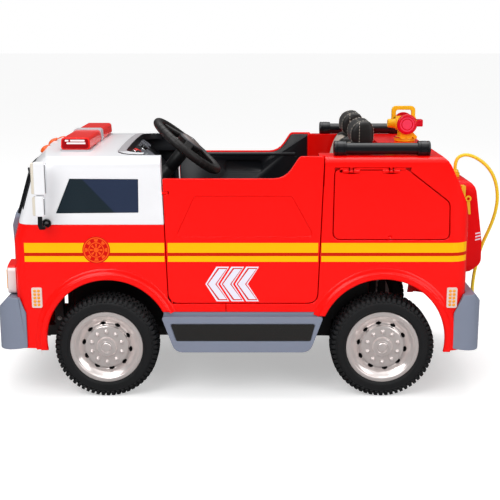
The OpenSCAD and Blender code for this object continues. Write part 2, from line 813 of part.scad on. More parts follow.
module seat_base() color("#b9a98c")
    across(seat_y - seat_w / 2, seat_y + seat_w / 2) polygon(rounded([
        [rear_x + 34, seat_z - 60, 10], [rear_x + 290, seat_z - 60, 16], [rear_x + 300, seat_z, 20],
        [rear_x + 200, seat_z - 6, 40], [rear_x + 34, seat_z - 6, 6]]));

module seat_back() color("#2b2724")
    across(seat_y - seat_w / 2, seat_y + seat_w / 2) polygon(rounded([
        [rear_x + 36, seat_z - 5.7, 6], [rear_x + 160, seat_z - 5.7, 8], [rear_x + 150, 640, 40],
        [rear_x + 92, 692, 24], [rear_x + 90, 752, 22], [rear_x + 30, 757, 26],
        [rear_x + 18, 690, 20]]));

// ---- things on the roof and the deck ----

rail_y = half_w - 42;
rail_z = side_top + rail_d / 2 - 0.5;

module deck_rails() color(black) both_sides() {
    difference() {
        union() {
            translate([rear_x - 114, rail_y, rail_z + 1]) rotate([0, 90, 0]) cylinder(d = rail_d, h = rail_l);
            for (x = [rear_x - 114, rear_x - 114 + rail_l - 29])
                translate([x, rail_y, rail_z + 1]) rotate([0, 90, 0]) cylinder(d = rail_d + 5, h = 29);
        }
        body_form(-0.1, 0);
    }
}

bar_x = front_x + 80;     // middle of the light bar
bar_half = 226;

module light_bar_base() color(grey) {
    difference() {
        union() {
            soft_block([bar_x - 45, -bar_half, side_top - 10], [bar_x + 45, bar_half, side_top + crown + 3], 8);
            // the band over the middle
            along_bar(-24, 24, 3.5);
        }
        body_form(-0.3, 0);
        along_bar(-40, 40, 0.3);
    }
}

// The bar's own cross section, from y0 to y1, grown by g
module along_bar(y0, y1, g) {
    across(y0, y1) offset(delta = g) polygon(rounded([
        [bar_x - 41, side_top + crown + 3.3, 2], [bar_x + 41, side_top + crown + 3.3, 2],
        [bar_x + 34, side_top + 42, 12], [bar_x - 34, side_top + 42, 12]]));
}

module light_bar_lens() color(red) along_bar(4 - bar_half, bar_half - 4, 0);

module marker_lamps() color(amber) {
    // row along the roof's front edge
    for (i = [-2:2])
        intersection() {
            translate([brow_x + 2, i * 115, brow_z]) rotate([0, 90 - brow_lean, 0])
                translate([0, 0, -30]) cylinder(d = 26, h = 60, $fn = 32);
            difference() {
                leaning_prism(brow_x + 8, brow_z, brow_lean, brow_bow, 0, 3);
                body_form(-0.2, 0);
            }
        }
    // on the sides, ahead of the front wheels and behind the rear ones
    both_sides() {
        side_marker(front_x + 181, 287);
        side_marker(rear_x - 181, 287);
    }
}

module side_marker(x, z) {
    across(half_w + 0.2, half_w + 6) polygon(rounded([
        [x - 14, z - 28, 4], [x + 14, z - 28, 4], [x + 14, z + 28, 4], [x - 14, z + 28, 4]]));
}

mirror_y = half_w + 42;

module mirrors() color(white) both_sides() {
    soft_block([front_x + 133, mirror_y - 10, 517], [front_x + 172, mirror_y + 14, 572], 6);
    soft_block([front_x + 133, mirror_y - 10, 574], [front_x + 172, mirror_y + 14, 660], 6);
    block([front_x + 148, mirror_y - 4, 572], [front_x + 158, mirror_y + 4, 574]);
    block([front_x + 146, mirror_y - 4, 484], [front_x + 158, mirror_y + 4, 517]);
    difference() {
        block([front_x + 140, half_w - 30, 480], [front_x + 158, mirror_y + 4, 492]);
        body_form(-0.2, 0);
    }
}

// Water monitor on the deck
monitor_x = rear_x - 89;
monitor_z = 726;          // height of the nozzle's tilt axis
monitor_deck = side_top + crown;

module monitor_base() color(yellow) difference() {
    translate([monitor_x, 0, monitor_deck - 10]) cylinder(r = 30, h = 18);
    body_form(-0.2, 0);
    translate([monitor_x, 0, monitor_deck - 30]) cylinder(d = 12.4, h = 60);
}

module monitor_turret() color(yellow) {
    difference() {
        union() {
            translate([monitor_x, 0, monitor_deck + 8.3]) cylinder(r1 = 33, r2 = 27, h = 5.2);
            for (s = [-1, 1])
                across(s * 26 - 5, s * 26 + 5) polygon(rounded([
                    [monitor_x - 18, monitor_deck + 9, 2], [monitor_x + 18, monitor_deck + 9, 2],
                    [monitor_x + 14, monitor_z + 12, 12], [monitor_x - 14, monitor_z + 12, 12]]));
        }
        cross_cylinder(monitor_x, -40, 40, monitor_z, 8.2);
    }
    translate([monitor_x, 0, monitor_deck - 6]) cylinder(d = 12, h = 18);
}

module monitor_nozzle() color(yellow) {
    difference() {
        union() {
            cross_cylinder(monitor_x, -40, 40, monitor_z, 8);
            // barrel pointing forward
            translate([monitor_x - 30, 0, monitor_z]) rotate([0, 90, 0]) cylinder(r = 19, h = 58);
            translate([monitor_x + 27, 0, monitor_z]) rotate([0, 90, 0]) cylinder(r1 = 15, r2 = 12, h = 24);
            // carry handle over the barrel
            difference() {
                across(-7, 7) polygon(rounded([
                    [monitor_x - 28, monitor_z + 10, 2], [monitor_x + 40, monitor_z + 10, 2],
                    [monitor_x + 40, monitor_z + 50, 12], [monitor_x - 28, monitor_z + 50, 12]]));
                across(-20, 20) polygon(rounded([
                    [monitor_x - 17, monitor_z + 21, 4], [monitor_x + 28, monitor_z + 21, 4],
                    [monitor_x + 28, monitor_z + 39, 6], [monitor_x - 17, monitor_z + 39, 6]]));
            }
            // block at the back and the round knobs on the trunnion
            block([monitor_x - 50, -14, monitor_z - 9], [monitor_x - 29, 14, monitor_z + 11]);
            both_sides() cross_cylinder(monitor_x, 33, 42, monitor_z, 29);
        }
        translate([monitor_x + 5, 0, monitor_z]) rotate([0, 90, 0]) cylinder(d = nozzle_bore, h = 60);
    }
}

// ---- water tank and hose ----

tank_half = 110;
filler = [rear_x - 241, 0, 560];

function tank_side() = rounded([
    [tail_x + 40, 318, 10], [tail_x - 40, 300, 14], [tank_back, 330, 30],
    [tank_back + 4, 400, 40], [tank_back + 26, tank_top_z, 34], [tail_x + 40, tank_top_z, 10]]);

function tank_back_view() = rounded([
    [16 - tank_half, 290, 40], [tank_half - 16, 290, 40], [tank_half, 400, 60],
    [tank_half - 14, tank_top_z, 40], [14 - tank_half, tank_top_z, 40], [-tank_half, 400, 60]]);

module water_tank() color(red) {
    difference() {
        intersection() {
            across(-tank_half, tank_half) polygon(tank_side());
            along(tank_back - 10, tail_x + 60) polygon(tank_back_view());
        }
        body_form(-0.3, 0);
        translate([filler[0], 0, 520]) cylinder(d = filler_bore, h = 80);
    }
}

tank_top_z = 570;
clip_z = 160;              // clip for the hose's nozzle on the rear bumper

module tank_fittings() color(yellow) {
    // filler cap with the hose socket
    difference() {
        union() {
            translate([filler[0], 0, tank_top_z - 20]) cylinder(d = filler_bore - 0.2, h = 21);
            translate([filler[0], 0, tank_top_z]) cylinder(d = 26, h = 12);
            translate([filler[0], 0, tank_top_z + 11]) cylinder(d = 18, h = 9);
        }
        translate([filler[0], 0, tank_top_z - 30]) cylinder(d = hose_d, h = 80);
    }
    // drain tap under the tank
    difference() {
        translate([tail_x - 44, 0, 282]) cylinder(r = 8, h = 30);
        across(-20, 20) offset(delta = 0.2) polygon(tank_side());
    }
    // catches on its sides
    both_sides() difference() {
        block([tail_x - 16, tank_half - 30, 520], [tail_x - 4, tank_half + 2, 558]);
        along(tail_x - 40, tail_x + 40) offset(delta = 0.2) polygon(tank_back_view());
    }
    // clip on the rear bumper
    difference() {
        union() {
            translate([nozzle_x, 0, clip_z]) cylinder(r = 13, h = 12);
            block([nozzle_x, -6, clip_z], [tail_x - 57, 6, clip_z + 12]);
        }
        translate([nozzle_x, 0, clip_z - 5]) cylinder(r = 10, h = 30);
    }
}

hose_d = 10;

nozzle_x = -692;

// Route of the hose's middle, from the filler cap down to its nozzle
hose_route = [
    [-624, 0, 590], [-624, 0, 602], [-626, 0, 614], [-632, 0, 625], [-642, 0, 631], [-655, 0, 633],
    [-668, 0, 631], [-683, 0, 625], [-698, 0, 616], [-713, 0, 604], [-727, 0, 588], [-738, 0, 570],
    [-746, 0, 549], [-751, 0, 526], [-753, 0, 502], [-751, 0, 476], [-746, 0, 450], [-738, 0, 424],
    [-728, 0, 398], [-718, 0, 373], [-711, 0, 352], [-706, 0, 332], [-702, 0, 312], [-698, 0, 292],
    [-695, 0, 272], [-693, 0, 252], [-692, 0, 230], [-692, 0, 210], [-692, 0, 190]];

// A ring of the tube round a point of the route, square to its direction d in the XZ plane
function hose_ring(p, d, n) =
    let (side = [0, 1, 0], up = cross(unit(d), side))
    [for (k = [0:n - 1]) p + (hose_d / 2) * (side * cos(360 * k / n) + up * sin(360 * k / n))];

module water_hose() color(yellow) {
    n = 10;
    m = len(hose_route);
    rings = [for (i = [0:m - 1])
        each hose_ring(hose_route[i], hose_route[min(i + 1, m - 1)] - hose_route[max(i - 1, 0)], n)];
    polyhedron(rings, concat(
        [[for (k = [0:n - 1]) k]],
        [for (i = [0:m - 2], k = [0:n - 1])
            [i * n + k, (i + 1) * n + k, (i + 1) * n + (k + 1) % n, i * n + (k + 1) % n]],
        [[for (k = [n - 1:-1:0]) (m - 1) * n + k]]));
}

module hose_nozzle() color(yellow) {
    difference() {
        union() {
            translate([nozzle_x, 0, 150]) cylinder(r = 9.8, h = 40);
            translate([nozzle_x, 0, 176]) cylinder(r = 12, h = 8);
            translate([nozzle_x, 0, 124]) cylinder(d1 = 11, d2 = 17, h = 26);
        }
        translate([nozzle_x, 0, 110]) cylinder(d = 6, h = 60);
    }
}

// ---- doors ----

module door() color(red) {
    difference() {
        across(half_w - 14, half_w) door_outline();
        // notch for the hinge tab
        on_door_hinge(hinge_tab_z) block([-7.5, -20, -1.6], [20, 20, 6.6]);
    }
    on_door_hinge(hinge_tab_z - 6) cylinder(r = hinge_pin_r, h = 17);
    on_door_hinge(door_bottom - 10) cylinder(r = hinge_pin_r, h = 30);
}

module door_liner() color(black) {
    difference() {
        across(half_w - door_t, half_w - 14) difference() {
            door_outline(-4);
            polygon([[rear_x + 232, side_top - 4], [front_x, side_top - 4], [front_x, side_top + 30], [rear_x + 100, side_top + 30]]);
        }
        // recess of the inner handle
        across(half_w - door_t - 5, half_w - door_t + 8) polygon(rounded([
            [-60, 540, 12], [60, 540, 12], [60, 580, 12], [-60, 580, 12]]));
    }
}

module left() { children(); }
module right() { mirror([0, 1, 0]) children(); }

chassis();
floor_tub();
front_shell();
cab_shell();
windscreen();
side_windows();
grille();
headlights();
front_bumper();
rear_shell();
rear_bumper();
side_steps();
dashboard();
instrument_cowl();
steering_column();
left() seat_base();  // seat_base_left
right() seat_base();  // seat_base_right
left() seat_back();  // seat_back_left
right() seat_back();  // seat_back_right
deck_rails();
light_bar_base();
light_bar_lens();
marker_lamps();
mirrors();
tail_lamps();
battery();
drive_gearboxes();
rear_axle();
front_axle();
water_tank();
tank_fittings();
monitor_base();
monitor_turret();
monitor_nozzle();
water_hose();
hose_nozzle();
steering_wheel();
tie_rod();
color(steel) knuckle(1);  // knuckle_left
color(steel) knuckle(-1);  // knuckle_right
at_wheel(front_x, 1) tyre_form();  // tyre_front_left
at_wheel(front_x, -1) tyre_form();  // tyre_front_right
at_wheel(rear_x, 1) tyre_form();  // tyre_rear_left
at_wheel(rear_x, -1) tyre_form();  // tyre_rear_right
at_wheel(front_x, 1) rim_form();  // rim_front_left
at_wheel(front_x, -1) rim_form();  // rim_front_right
at_wheel(rear_x, 1) rim_form();  // rim_rear_left
at_wheel(rear_x, -1) rim_form();  // rim_rear_right
left() door();  // door_left
right() door();  // door_right
left() door_liner();  // door_liner_left
right() door_liner();  // door_liner_right
color(red) left() locker_lid();  // locker_lid_left
color(red) right() locker_lid();  // locker_lid_right
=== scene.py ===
"""A children's two-seat ride-on fire engine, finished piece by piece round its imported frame."""

import math

import bpy
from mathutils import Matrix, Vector


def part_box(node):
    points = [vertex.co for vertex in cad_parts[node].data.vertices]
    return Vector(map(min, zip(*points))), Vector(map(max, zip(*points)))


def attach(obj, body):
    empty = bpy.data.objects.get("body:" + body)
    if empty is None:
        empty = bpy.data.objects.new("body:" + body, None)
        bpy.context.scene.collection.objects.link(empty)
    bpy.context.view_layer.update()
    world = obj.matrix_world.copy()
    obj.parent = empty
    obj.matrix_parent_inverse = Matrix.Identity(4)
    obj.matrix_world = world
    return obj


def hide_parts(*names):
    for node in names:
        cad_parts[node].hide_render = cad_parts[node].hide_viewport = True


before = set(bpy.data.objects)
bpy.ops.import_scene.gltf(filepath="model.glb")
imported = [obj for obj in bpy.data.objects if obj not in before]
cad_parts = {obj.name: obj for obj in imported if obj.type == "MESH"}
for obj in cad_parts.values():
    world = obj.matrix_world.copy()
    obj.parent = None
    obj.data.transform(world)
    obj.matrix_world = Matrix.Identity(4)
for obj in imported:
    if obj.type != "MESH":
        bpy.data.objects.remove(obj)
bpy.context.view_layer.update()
scene = bpy.context.scene

# ---- camera ----
# Level with the roof and a little over two lengths away on the driver's side,
# looking down at the side of the toy.

LENS = 71.9
CAMERA_PLACE = (-0.020, 2.923, 0.993)
CAMERA_DOWN = 12.46

bpy.ops.object.select_all(action="DESELECT")
bpy.ops.object.camera_add(location=CAMERA_PLACE, rotation=(math.radians(90 - CAMERA_DOWN), 0, math.pi))
camera = bpy.context.object
camera.data.lens = LENS
camera.data.clip_end = 100
scene.camera = camera
scene.view_settings.view_transform = "Standard"

# ---- water hose ----
# A smooth yellow hose of soft plastic from the tank's filler cap to a small spray
# nozzle that hangs in a clip on the rear bumper.

MM = 0.001
HOSE_D = 10 * MM
HOSE_ROUTE = [
    (-624, 590), (-624, 602), (-626, 614), (-632, 625), (-642, 631), (-655, 633), (-668, 631),
    (-683, 625), (-698, 616), (-713, 604), (-727, 588), (-738, 570), (-746, 549), (-751, 526),
    (-753, 502), (-751, 476), (-746, 450), (-738, 424), (-728, 398), (-718, 373), (-711, 352),
    (-706, 332), (-702, 312), (-698, 292), (-695, 272), (-693, 252), (-692, 230), (-692, 210),
    (-692, 190)]


def shader_node(tree, kind, operation=None, **inputs):
    """Adds a node; an input is a constant or another node's output, _0 meaning the first by number."""
    node = tree.nodes.new("ShaderNode" + kind)
    if operation:
        node.operation = operation
    for label, value in inputs.items():
        socket = node.inputs[int(label[1:]) if label[0] == "_" else label.replace("_", " ")]
        if isinstance(value, bpy.types.NodeSocket):
            tree.links.new(value, socket)
        else:
            socket.default_value = value
    return node


def colour_mix(tree, factor, first, second):
    """Adds a node that mixes two colours and returns its output."""
    mix = tree.nodes.new("ShaderNodeMix")
    mix.data_type = "RGBA"
    tree.links.new(factor, mix.inputs["Factor"])
    mix.inputs[6].default_value, mix.inputs[7].default_value = first, second
    return mix.outputs[2]


def skin_group(name, grain_kind):
    """A node group for a moulded skin: mottled colour, patchy roughness and a fine relief."""
    group = bpy.data.node_groups.new(name, "ShaderNodeTree")
    for label, kind, value in (("Colour", "Color", (0.5, 0.5, 0.5, 1)), ("Mottle", "Float", 0.06),
                               ("Roughness", "Float", 0.3), ("Grain size", "Float", 500.0),
                               ("Grain depth", "Float", 0.1)):
        entry = group.interface.new_socket(label, in_out="INPUT", socket_type="NodeSocket" + kind)
        entry.default_value = value
    for label, kind in (("Colour", "Color"), ("Roughness", "Float"), ("Normal", "Vector")):
        group.interface.new_socket(label, in_out="OUTPUT", socket_type="NodeSocket" + kind)
    ins = group.nodes.new("NodeGroupInput").outputs
    outs = group.nodes.new("NodeGroupOutput").inputs
    place = shader_node(group, "TexCoord").outputs["Object"]
    patches = shader_node(group, "TexNoise", Scale=7, Detail=5, Vector=place)
    low = shader_node(group, "Math", "SUBTRACT", _0=1, _1=ins["Mottle"])
    shade = shader_node(group, "MapRange", Value=patches.outputs["Fac"], From_Min=0.3, From_Max=0.7,
                        To_Min=low.outputs[0], To_Max=1).outputs["Result"]
    tint = shader_node(group, "VectorMath", "SCALE", _0=ins["Colour"], Scale=shade)
    group.links.new(tint.outputs[0], outs["Colour"])
    rough = shader_node(group, "Math", "DIVIDE", _0=ins["Roughness"], _1=shade)
    group.links.new(rough.outputs[0], outs["Roughness"])
    grain = shader_node(group, "TexNoise" if grain_kind == "noise" else "TexVoronoi",
                        Vector=place, Scale=ins["Grain size"])
    height = grain.outputs["Fac" if grain_kind == "noise" else "Distance"]
    bump = shader_node(group, "Bump", Distance=0.5 * MM, Strength=ins["Grain depth"], Height=height)
    group.links.new(bump.outputs["Normal"], outs["Normal"])
    return group


MOULDED = skin_group("moulded_skin", "noise")


def finish(name, colour, roughness, mottle=0.06, size=500.0, depth=0.1, group=MOULDED, **sockets):
    """A material with the given skin group; sockets are constants on its Principled shader."""
    material = bpy.data.materials.new(name)
    material.use_nodes = True
    nodes, link = material.node_tree.nodes, material.node_tree.links.new
    shader = nodes["Principled BSDF"]
    skin = nodes.new("ShaderNodeGroup")
    skin.name = "skin"
    skin.node_tree = group
    for label, value in (("Colour", (*colour, 1)), ("Mottle", mottle), ("Roughness", roughness),
                         ("Grain size", size), ("Grain depth", depth)):
        skin.inputs[label].default_value = value
    for here, there in (("Colour", "Base Color"), ("Roughness", "Roughness"), ("Normal", "Normal")):
        link(skin.outputs[here], shader.inputs[there])
    for label, value in sockets.items():
        shader.inputs[label.replace("_", " ")].default_value = value
    return material


def cover(piece, *materials):
    """Gives a piece, new or from the frame, its materials, the first one on all of its faces."""
    piece.data.materials.clear()
    for material in materials:
        piece.data.materials.append(material)


yellow_plastic = finish("yellow_plastic", (0.93, 0.56, 0.012), 0.26, Coat_Weight=0.3, Coat_Roughness=0.15)
hose_plastic = finish("hose_plastic", (0.93, 0.66, 0.02), 0.34, size=260, depth=0.15)

line = bpy.data.curves.new("hose", "CURVE")
line.dimensions = "3D"
spline = line.splines.new("BEZIER")
spline.bezier_points.add(len(HOSE_ROUTE) - 1)
for point, (x, z) in zip(spline.bezier_points, HOSE_ROUTE):
    point.co = (x * MM, 0, z * MM)
    point.handle_left_type = point.handle_right_type = "AUTO"
line.bevel_depth = HOSE_D / 2
line.bevel_resolution = 5
line.resolution_u = 4
line.use_fill_caps = True
hose = bpy.data.objects.new("hose", line)
scene.collection.objects.link(hose)
cover(hose, hose_plastic)
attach(hose, "root")
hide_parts("water_hose")
HOSE_LENGTH = sum(math.dist(a, b) for a, b in zip(HOSE_ROUTE, HOSE_ROUTE[1:])) * MM


def pick_none():
    bpy.ops.object.select_all(action="DESELECT")


def pick(*pieces):
    """Selects just these pieces, the last one active."""
    pick_none()
    for piece in pieces:
        piece.select_set(True)
    bpy.context.view_layer.objects.active = pieces[-1]


def settle(piece):
    """Puts a piece's place, turn and size into its mesh."""
    pick(piece)
    bpy.ops.object.transform_apply(location=True, rotation=True, scale=True)
    return piece


def moved(piece, x, y, z):
    """Moves a piece built round the origin, in millimetres."""
    piece.location = (x * MM, y * MM, z * MM)
    return settle(piece)


def open_mesh(piece, mode="VERT"):
    """Opens a piece's mesh for editing, with all of it selected."""
    pick(piece)
    bpy.ops.object.mode_set(mode="EDIT")
    bpy.ops.mesh.select_mode(type=mode)
    bpy.ops.mesh.select_all(action="SELECT")


def close_mesh(outward=False):
    """Closes the open mesh, with its normals turned outward first if asked."""
    if outward:
        bpy.ops.mesh.select_all(action="SELECT")
        bpy.ops.mesh.normals_make_consistent(inside=False)
    bpy.ops.object.mode_set(mode="OBJECT")


def with_modifier(piece, kind, **values):
    """Adds a modifier with these values and applies it."""
    pick(piece)
    modifier = piece.modifiers.new(kind.lower(), kind)
    for label, value in values.items():
        setattr(modifier, label, value)
    bpy.ops.object.modifier_apply(modifier=modifier.name)
    return piece


def smooth(piece, angle=35):
    pick(piece)
    bpy.ops.object.shade_smooth_by_angle(angle=math.radians(angle))
    return piece


def soften(piece, width, steps=2, clamp=True):
    """Rounds a piece's sharp edges by width millimetres."""
    with_modifier(piece, "BEVEL", width=width * MM, segments=steps, limit_method="ANGLE",
                  angle_limit=math.radians(30), use_clamp_overlap=clamp)
    smooth(piece)
    return with_modifier(piece, "WEIGHTED_NORMAL", keep_sharp=True)


def turned(name, profile, place=(0, 0, 0), axis=(0, 0, 1), sides=48):
    """A solid of revolution, extruded ring by ring from (radius, height) pairs along its axis."""
    pick_none()
    radius, height = profile[0]
    bpy.ops.mesh.primitive_circle_add(vertices=sides, radius=max(radius, 0.001) * MM,
                                      location=(0, 0, height * MM))
    piece = bpy.context.object
    piece.name = name
    settle(piece)
    open_mesh(piece)
    for next_radius, next_height in profile[1:]:
        bpy.ops.mesh.extrude_edges_move(
            TRANSFORM_OT_translate={"value": (0, 0, (next_height - height) * MM)})
        scale = max(next_radius, 0.001) / max(radius, 0.001)
        bpy.ops.transform.resize(value=(scale, scale, 1), center_override=(0, 0, 0))
        radius, height = next_radius, next_height
    bpy.ops.mesh.select_all(action="SELECT")
    bpy.ops.mesh.remove_doubles(threshold=0.00002)
    close_mesh(outward=True)
    piece.rotation_euler = Vector(axis).to_track_quat("Z", "Y").to_euler()
    moved(piece, *place)
    return smooth(piece)


def joined(name, pieces):
    """Joins pieces into one under a new name."""
    pick(*pieces)
    if len(pieces) > 1:
        bpy.ops.object.join()
    piece = bpy.context.view_layer.objects.active
    piece.name = piece.data.name = name
    return piece


def fitted(piece, body, slot, *nodes):
    """Parents a finished piece to what it rides on and hides the frame's nodes that it stands for; slot is not
    used.
    """
    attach(piece, body)
    if nodes:
        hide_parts(*nodes)
    return piece


def finished(piece, material, body, slot, *nodes):
    """Covers a piece with one material and fits it."""
    cover(piece, material)
    return fitted(piece, body, slot, *nodes)


nozzle_x = HOSE_ROUTE[-1][0]
hose_nozzle = joined("spray_nozzle", [
    turned("grip", [(2.6, 140), (5.5, 140), (9, 150), (9.6, 152), (9.6, 158), (8.8, 160), (8.8, 174), (11.6, 176),
                    (12, 178), (12, 182), (11.4, 184), (9.4, 185), (9.4, 189), (8.6, 190), (4.9, 190),
                    (4.9, 186), (2.6, 182), (2.6, 140)], (nozzle_x, 0, 0), sides=40),
    turned("tip", [(2.8, 124), (5, 124), (5.6, 125.5), (8.5, 149.5), (8.3, 150.5), (2.8, 150.5), (2.8, 124)],
           (nozzle_x, 0, 0), sides=40)])
finished(hose_nozzle, yellow_plastic, "root", "yellow_plastic", "hose_nozzle")

# ---- floor and light ----
# A plain pale studio floor under soft lamps: one large lamp from the front left,
# a weaker one from the rear and a long one overhead.

pick_none()
bpy.ops.mesh.primitive_plane_add(size=80, location=(0, 0, 0))
floor = bpy.context.object
floor.name = "floor"
floor_paint = bpy.data.materials.new("floor_paint")
floor_paint.use_nodes = True
tree = floor_paint.node_tree
paint = tree.nodes["Principled BSDF"]
paint.inputs["Roughness"].default_value = 0.9
paint.inputs["Specular IOR Level"].default_value = 0.0
rays = shader_node(tree, "LightPath").outputs
# the floor is pale to look at and dark in reflections
tone = colour_mix(tree, rays["Is Glossy Ray"], (0.80, 0.80, 0.80, 1), (0.14, 0.14, 0.14, 1))
tree.links.new(tone, paint.inputs["Base Color"])
through = shader_node(tree, "Math", "MAXIMUM", _0=rays["Is Camera Ray"], _1=rays["Is Transmission Ray"])
lift = shader_node(tree, "Math", "MULTIPLY", _0=through.outputs[0], _1=0.42)
glow = shader_node(tree, "Emission", Strength=lift.outputs[0])
both = shader_node(tree, "AddShader", _0=paint.outputs["BSDF"], _1=glow.outputs["Emission"])
tree.links.new(both.outputs["Shader"], tree.nodes["Material Output"].inputs["Surface"])
cover(floor, floor_paint)

world = bpy.data.worlds.new("studio")
scene.world = world
world.use_nodes = True
tree = world.node_tree
rays = shader_node(tree, "LightPath").outputs
direction = shader_node(tree, "TexCoord").outputs["Generated"]
upward = shader_node(tree, "SeparateXYZ", _0=direction).outputs["Z"]
sky = shader_node(tree, "MapRange", Value=upward, From_Min=-0.05, From_Max=0.8, To_Min=0.3, To_Max=0.75)
# in reflections the room is dark to the sides and bright overhead
softbox = shader_node(tree, "MapRange", Value=upward, From_Min=0.45, From_Max=0.95, To_Min=0.12, To_Max=1.5)
reflected = shader_node(tree, "Mix", Factor=rays["Is Glossy Ray"], A=sky.outputs["Result"],
                        B=softbox.outputs["Result"])
seen = shader_node(tree, "Math", "MAXIMUM", _0=rays["Is Camera Ray"], _1=rays["Is Transmission Ray"])
brightness = shader_node(tree, "Mix", Factor=seen.outputs[0], A=reflected.outputs["Result"], B=1)
air = tree.nodes["Background"]
air.inputs["Color"].default_value = (1, 1, 1, 1)
tree.links.new(brightness.outputs["Result"], air.inputs["Strength"])

for name, place, size, power in (("key", (1.6, 2.6, 2.6), 2.2, 52), ("fill", (-2.4, 2.4, 1.6), 2.0, 26),
                                 ("overhead", (0, -0.4, 3.2), 2.6, 38)):
    bpy.ops.object.light_add(type="AREA", location=place)
    lamp = bpy.context.object
    lamp.name = name
    lamp.data.size = size
    lamp.data.energy = power
    lamp.rotation_euler = (Vector((0, 0, 0.35)) - Vector(place)).to_track_quat("-Z", "Y").to_euler()

# ---- frame, axles and steering rods ----
# Welded box rails, an axle beam with yokes and flat arms, all in black stoved paint,
# held by zinc plated hexagon bolts.


def moulded(name, node, width, steps=2):
    """A copy of a frame node: its flat facets merged, its sharp edges rounded by width millimetres."""
    piece = bpy.data.objects.new(name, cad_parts[node].data.copy())
    piece.data.name = name
    scene.collection.objects.link(piece)
    open_mesh(piece)
    bpy.ops.mesh.remove_doubles(threshold=0.00002)
    bpy.ops.mesh.dissolve_limited(angle_limit=math.radians(0.4))
    close_mesh()
    if width:
        soften(piece, width, steps, clamp=False)
    return piece


def box_of(node):
    """The low and high corners of a frame node's box, in millimetres."""
    return [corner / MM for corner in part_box(node)]


def copied(piece, name, mirrored=False):
    """A copy with its own mesh, mirrored to the other side if asked."""
    pick(piece)
    bpy.ops.object.duplicate()
    copy = bpy.context.object
    copy.name = copy.data.name = name
    if mirrored:
        copy.scale = (1, -1, 1)
        open_mesh(settle(copy))
        close_mesh(outward=True)
    return copy


def both_sides(piece):
    """Adds a piece's mirror image on the other side of the toy."""
    name = piece.name
    return joined(name, [piece, copied(piece, name + "_other", mirrored=True)])


def bolts(name, places, axis, radius=6):
    """Hexagon bolt heads on washers, standing out along their axis."""
    heads = []
    for place in places:
        heads.append(turned("washer", [(0, 0), (radius * 1.25, 0), (radius * 1.35, 0.5), (radius * 1.3, 1.2),
                                       (0, 1.2)], place, axis, 20))
        heads.append(turned("head", [(0, 1), (radius, 1), (radius, 4), (radius * 0.86, 5), (0, 5.2)], place,
                            axis, 6))
    return joined(name, heads)


steel_paint = finish("steel_paint", (0.018, 0.018, 0.02), 0.36, mottle=0.25, size=900, depth=0.2,
                     Coat_Weight=0.2)
zinc = finish("zinc", (0.62, 0.62, 0.60), 0.3, mottle=0.15, size=1400, depth=0.1, Metallic=1)
wheel_low, wheel_high = box_of("tyre_front_left")
FRONT_X = (wheel_low[0] + wheel_high[0]) / 2
WHEEL_Y = (wheel_low[1] + wheel_high[1]) / 2
WHEEL_Z = (wheel_low[2] + wheel_high[2]) / 2
rear_low, rear_high = box_of("tyre_rear_left")
REAR_X = (rear_low[0] + rear_high[0]) / 2

for node, body, width in (("chassis", "root", 1.5), ("front_axle", "root", 1.2),
                          ("knuckle_left", "knuckle_left", 0.8), ("knuckle_right", "knuckle_right", 0.8),
                          ("tie_rod", "tie_rod", 0.8)):
    part = moulded(node + "_painted", node, width)
    finished(part, steel_paint, body, "steel_black", node)
axle = moulded("rear_axle_bare", "rear_axle", 0.6)
finished(axle, zinc, "root", "steel_plain", "rear_axle")
BOLT_X = (REAR_X - 138, REAR_X + 132, FRONT_X - 98, FRONT_X + 198)
frame_bolts = bolts("frame_bolts", [(x, y, 118) for x in BOLT_X for y in (-105, 105)], (0, 0, -1))
finished(frame_bolts, zinc, "root", "steel_plain")
STAY_BOLTS = ((FRONT_X + 163, 170), (FRONT_X + 163, 310), (REAR_X - 20, 178), (REAR_X - 20, 400))
side_bolts = bolts("stay_bolts", [(x, 118, z) for x, z in STAY_BOLTS], (0, 1, 0), 5)
finished(both_sides(side_bolts), zinc, "root", "steel_plain")

# ---- battery and drive gearboxes ----
# A sealed battery with two terminals under a webbing strap, and two moulded gear cases
# with ribs and screws that drive the rear wheels.


def plate(name, outline, across, low, high):
    """A prism of a two dimensional outline, extruded along the X, Y or Z axis."""
    pick_none()
    bpy.ops.mesh.primitive_circle_add(vertices=len(outline), radius=0.1, fill_type="NGON")
    piece = bpy.context.object
    piece.name = name
    axis = "XYZ".index(across)
    for vertex, (a, b) in zip(piece.data.vertices, outline):
        spot = [a, b]
        spot.insert(axis, low)
        vertex.co = [v * MM for v in spot]
    step = [0, 0, 0]
    step[axis] = (high - low) * MM
    open_mesh(piece)
    bpy.ops.mesh.extrude_region_move(TRANSFORM_OT_translate={"value": step})
    close_mesh(outward=True)
    return settle(piece)


def rounded(points, radius, steps=4):
    """The outline of a convex polygon with its corners rounded by arcs."""
    outline = []
    for i, corner in enumerate(points):
        here = Vector(corner)
        before, after = Vector(points[i - 1]) - here, Vector(points[(i + 1) % len(points)]) - here
        half = before.angle(after) / 2
        reach = radius / math.tan(half)
        middle = here + (before.normalized() + after.normalized()).normalized() * (radius / math.sin(half))
        start = here + before.normalized() * reach - middle
        turn = start.angle_signed(here + after.normalized() * reach - middle)
        for k in range(steps + 1):
            angle = -turn * k / steps
            outline.append((middle.x + start.x * math.cos(angle) - start.y * math.sin(angle),
                            middle.y + start.x * math.sin(angle) + start.y * math.cos(angle)))
    return outline


def rectangle(a0, b0, a1, b1, radius, steps=4):
    return rounded([(a0, b0), (a1, b0), (a1, b1), (a0, b1)], radius, steps)


black_plastic = finish("black_plastic", (0.006, 0.0065, 0.0075), 0.36, mottle=0.15, size=1300, depth=0.3,
                       Specular_IOR_Level=0.3)
webbing = finish("webbing", (0.03, 0.03, 0.035), 0.8, size=2600, depth=0.8,
                 group=skin_group("woven", "cells"))
red_plastic = finish("red_plastic", (1, 0.0025, 0.0008), 0.2, mottle=0.04, size=240, depth=0.03,
                     Specular_IOR_Level=0.3)

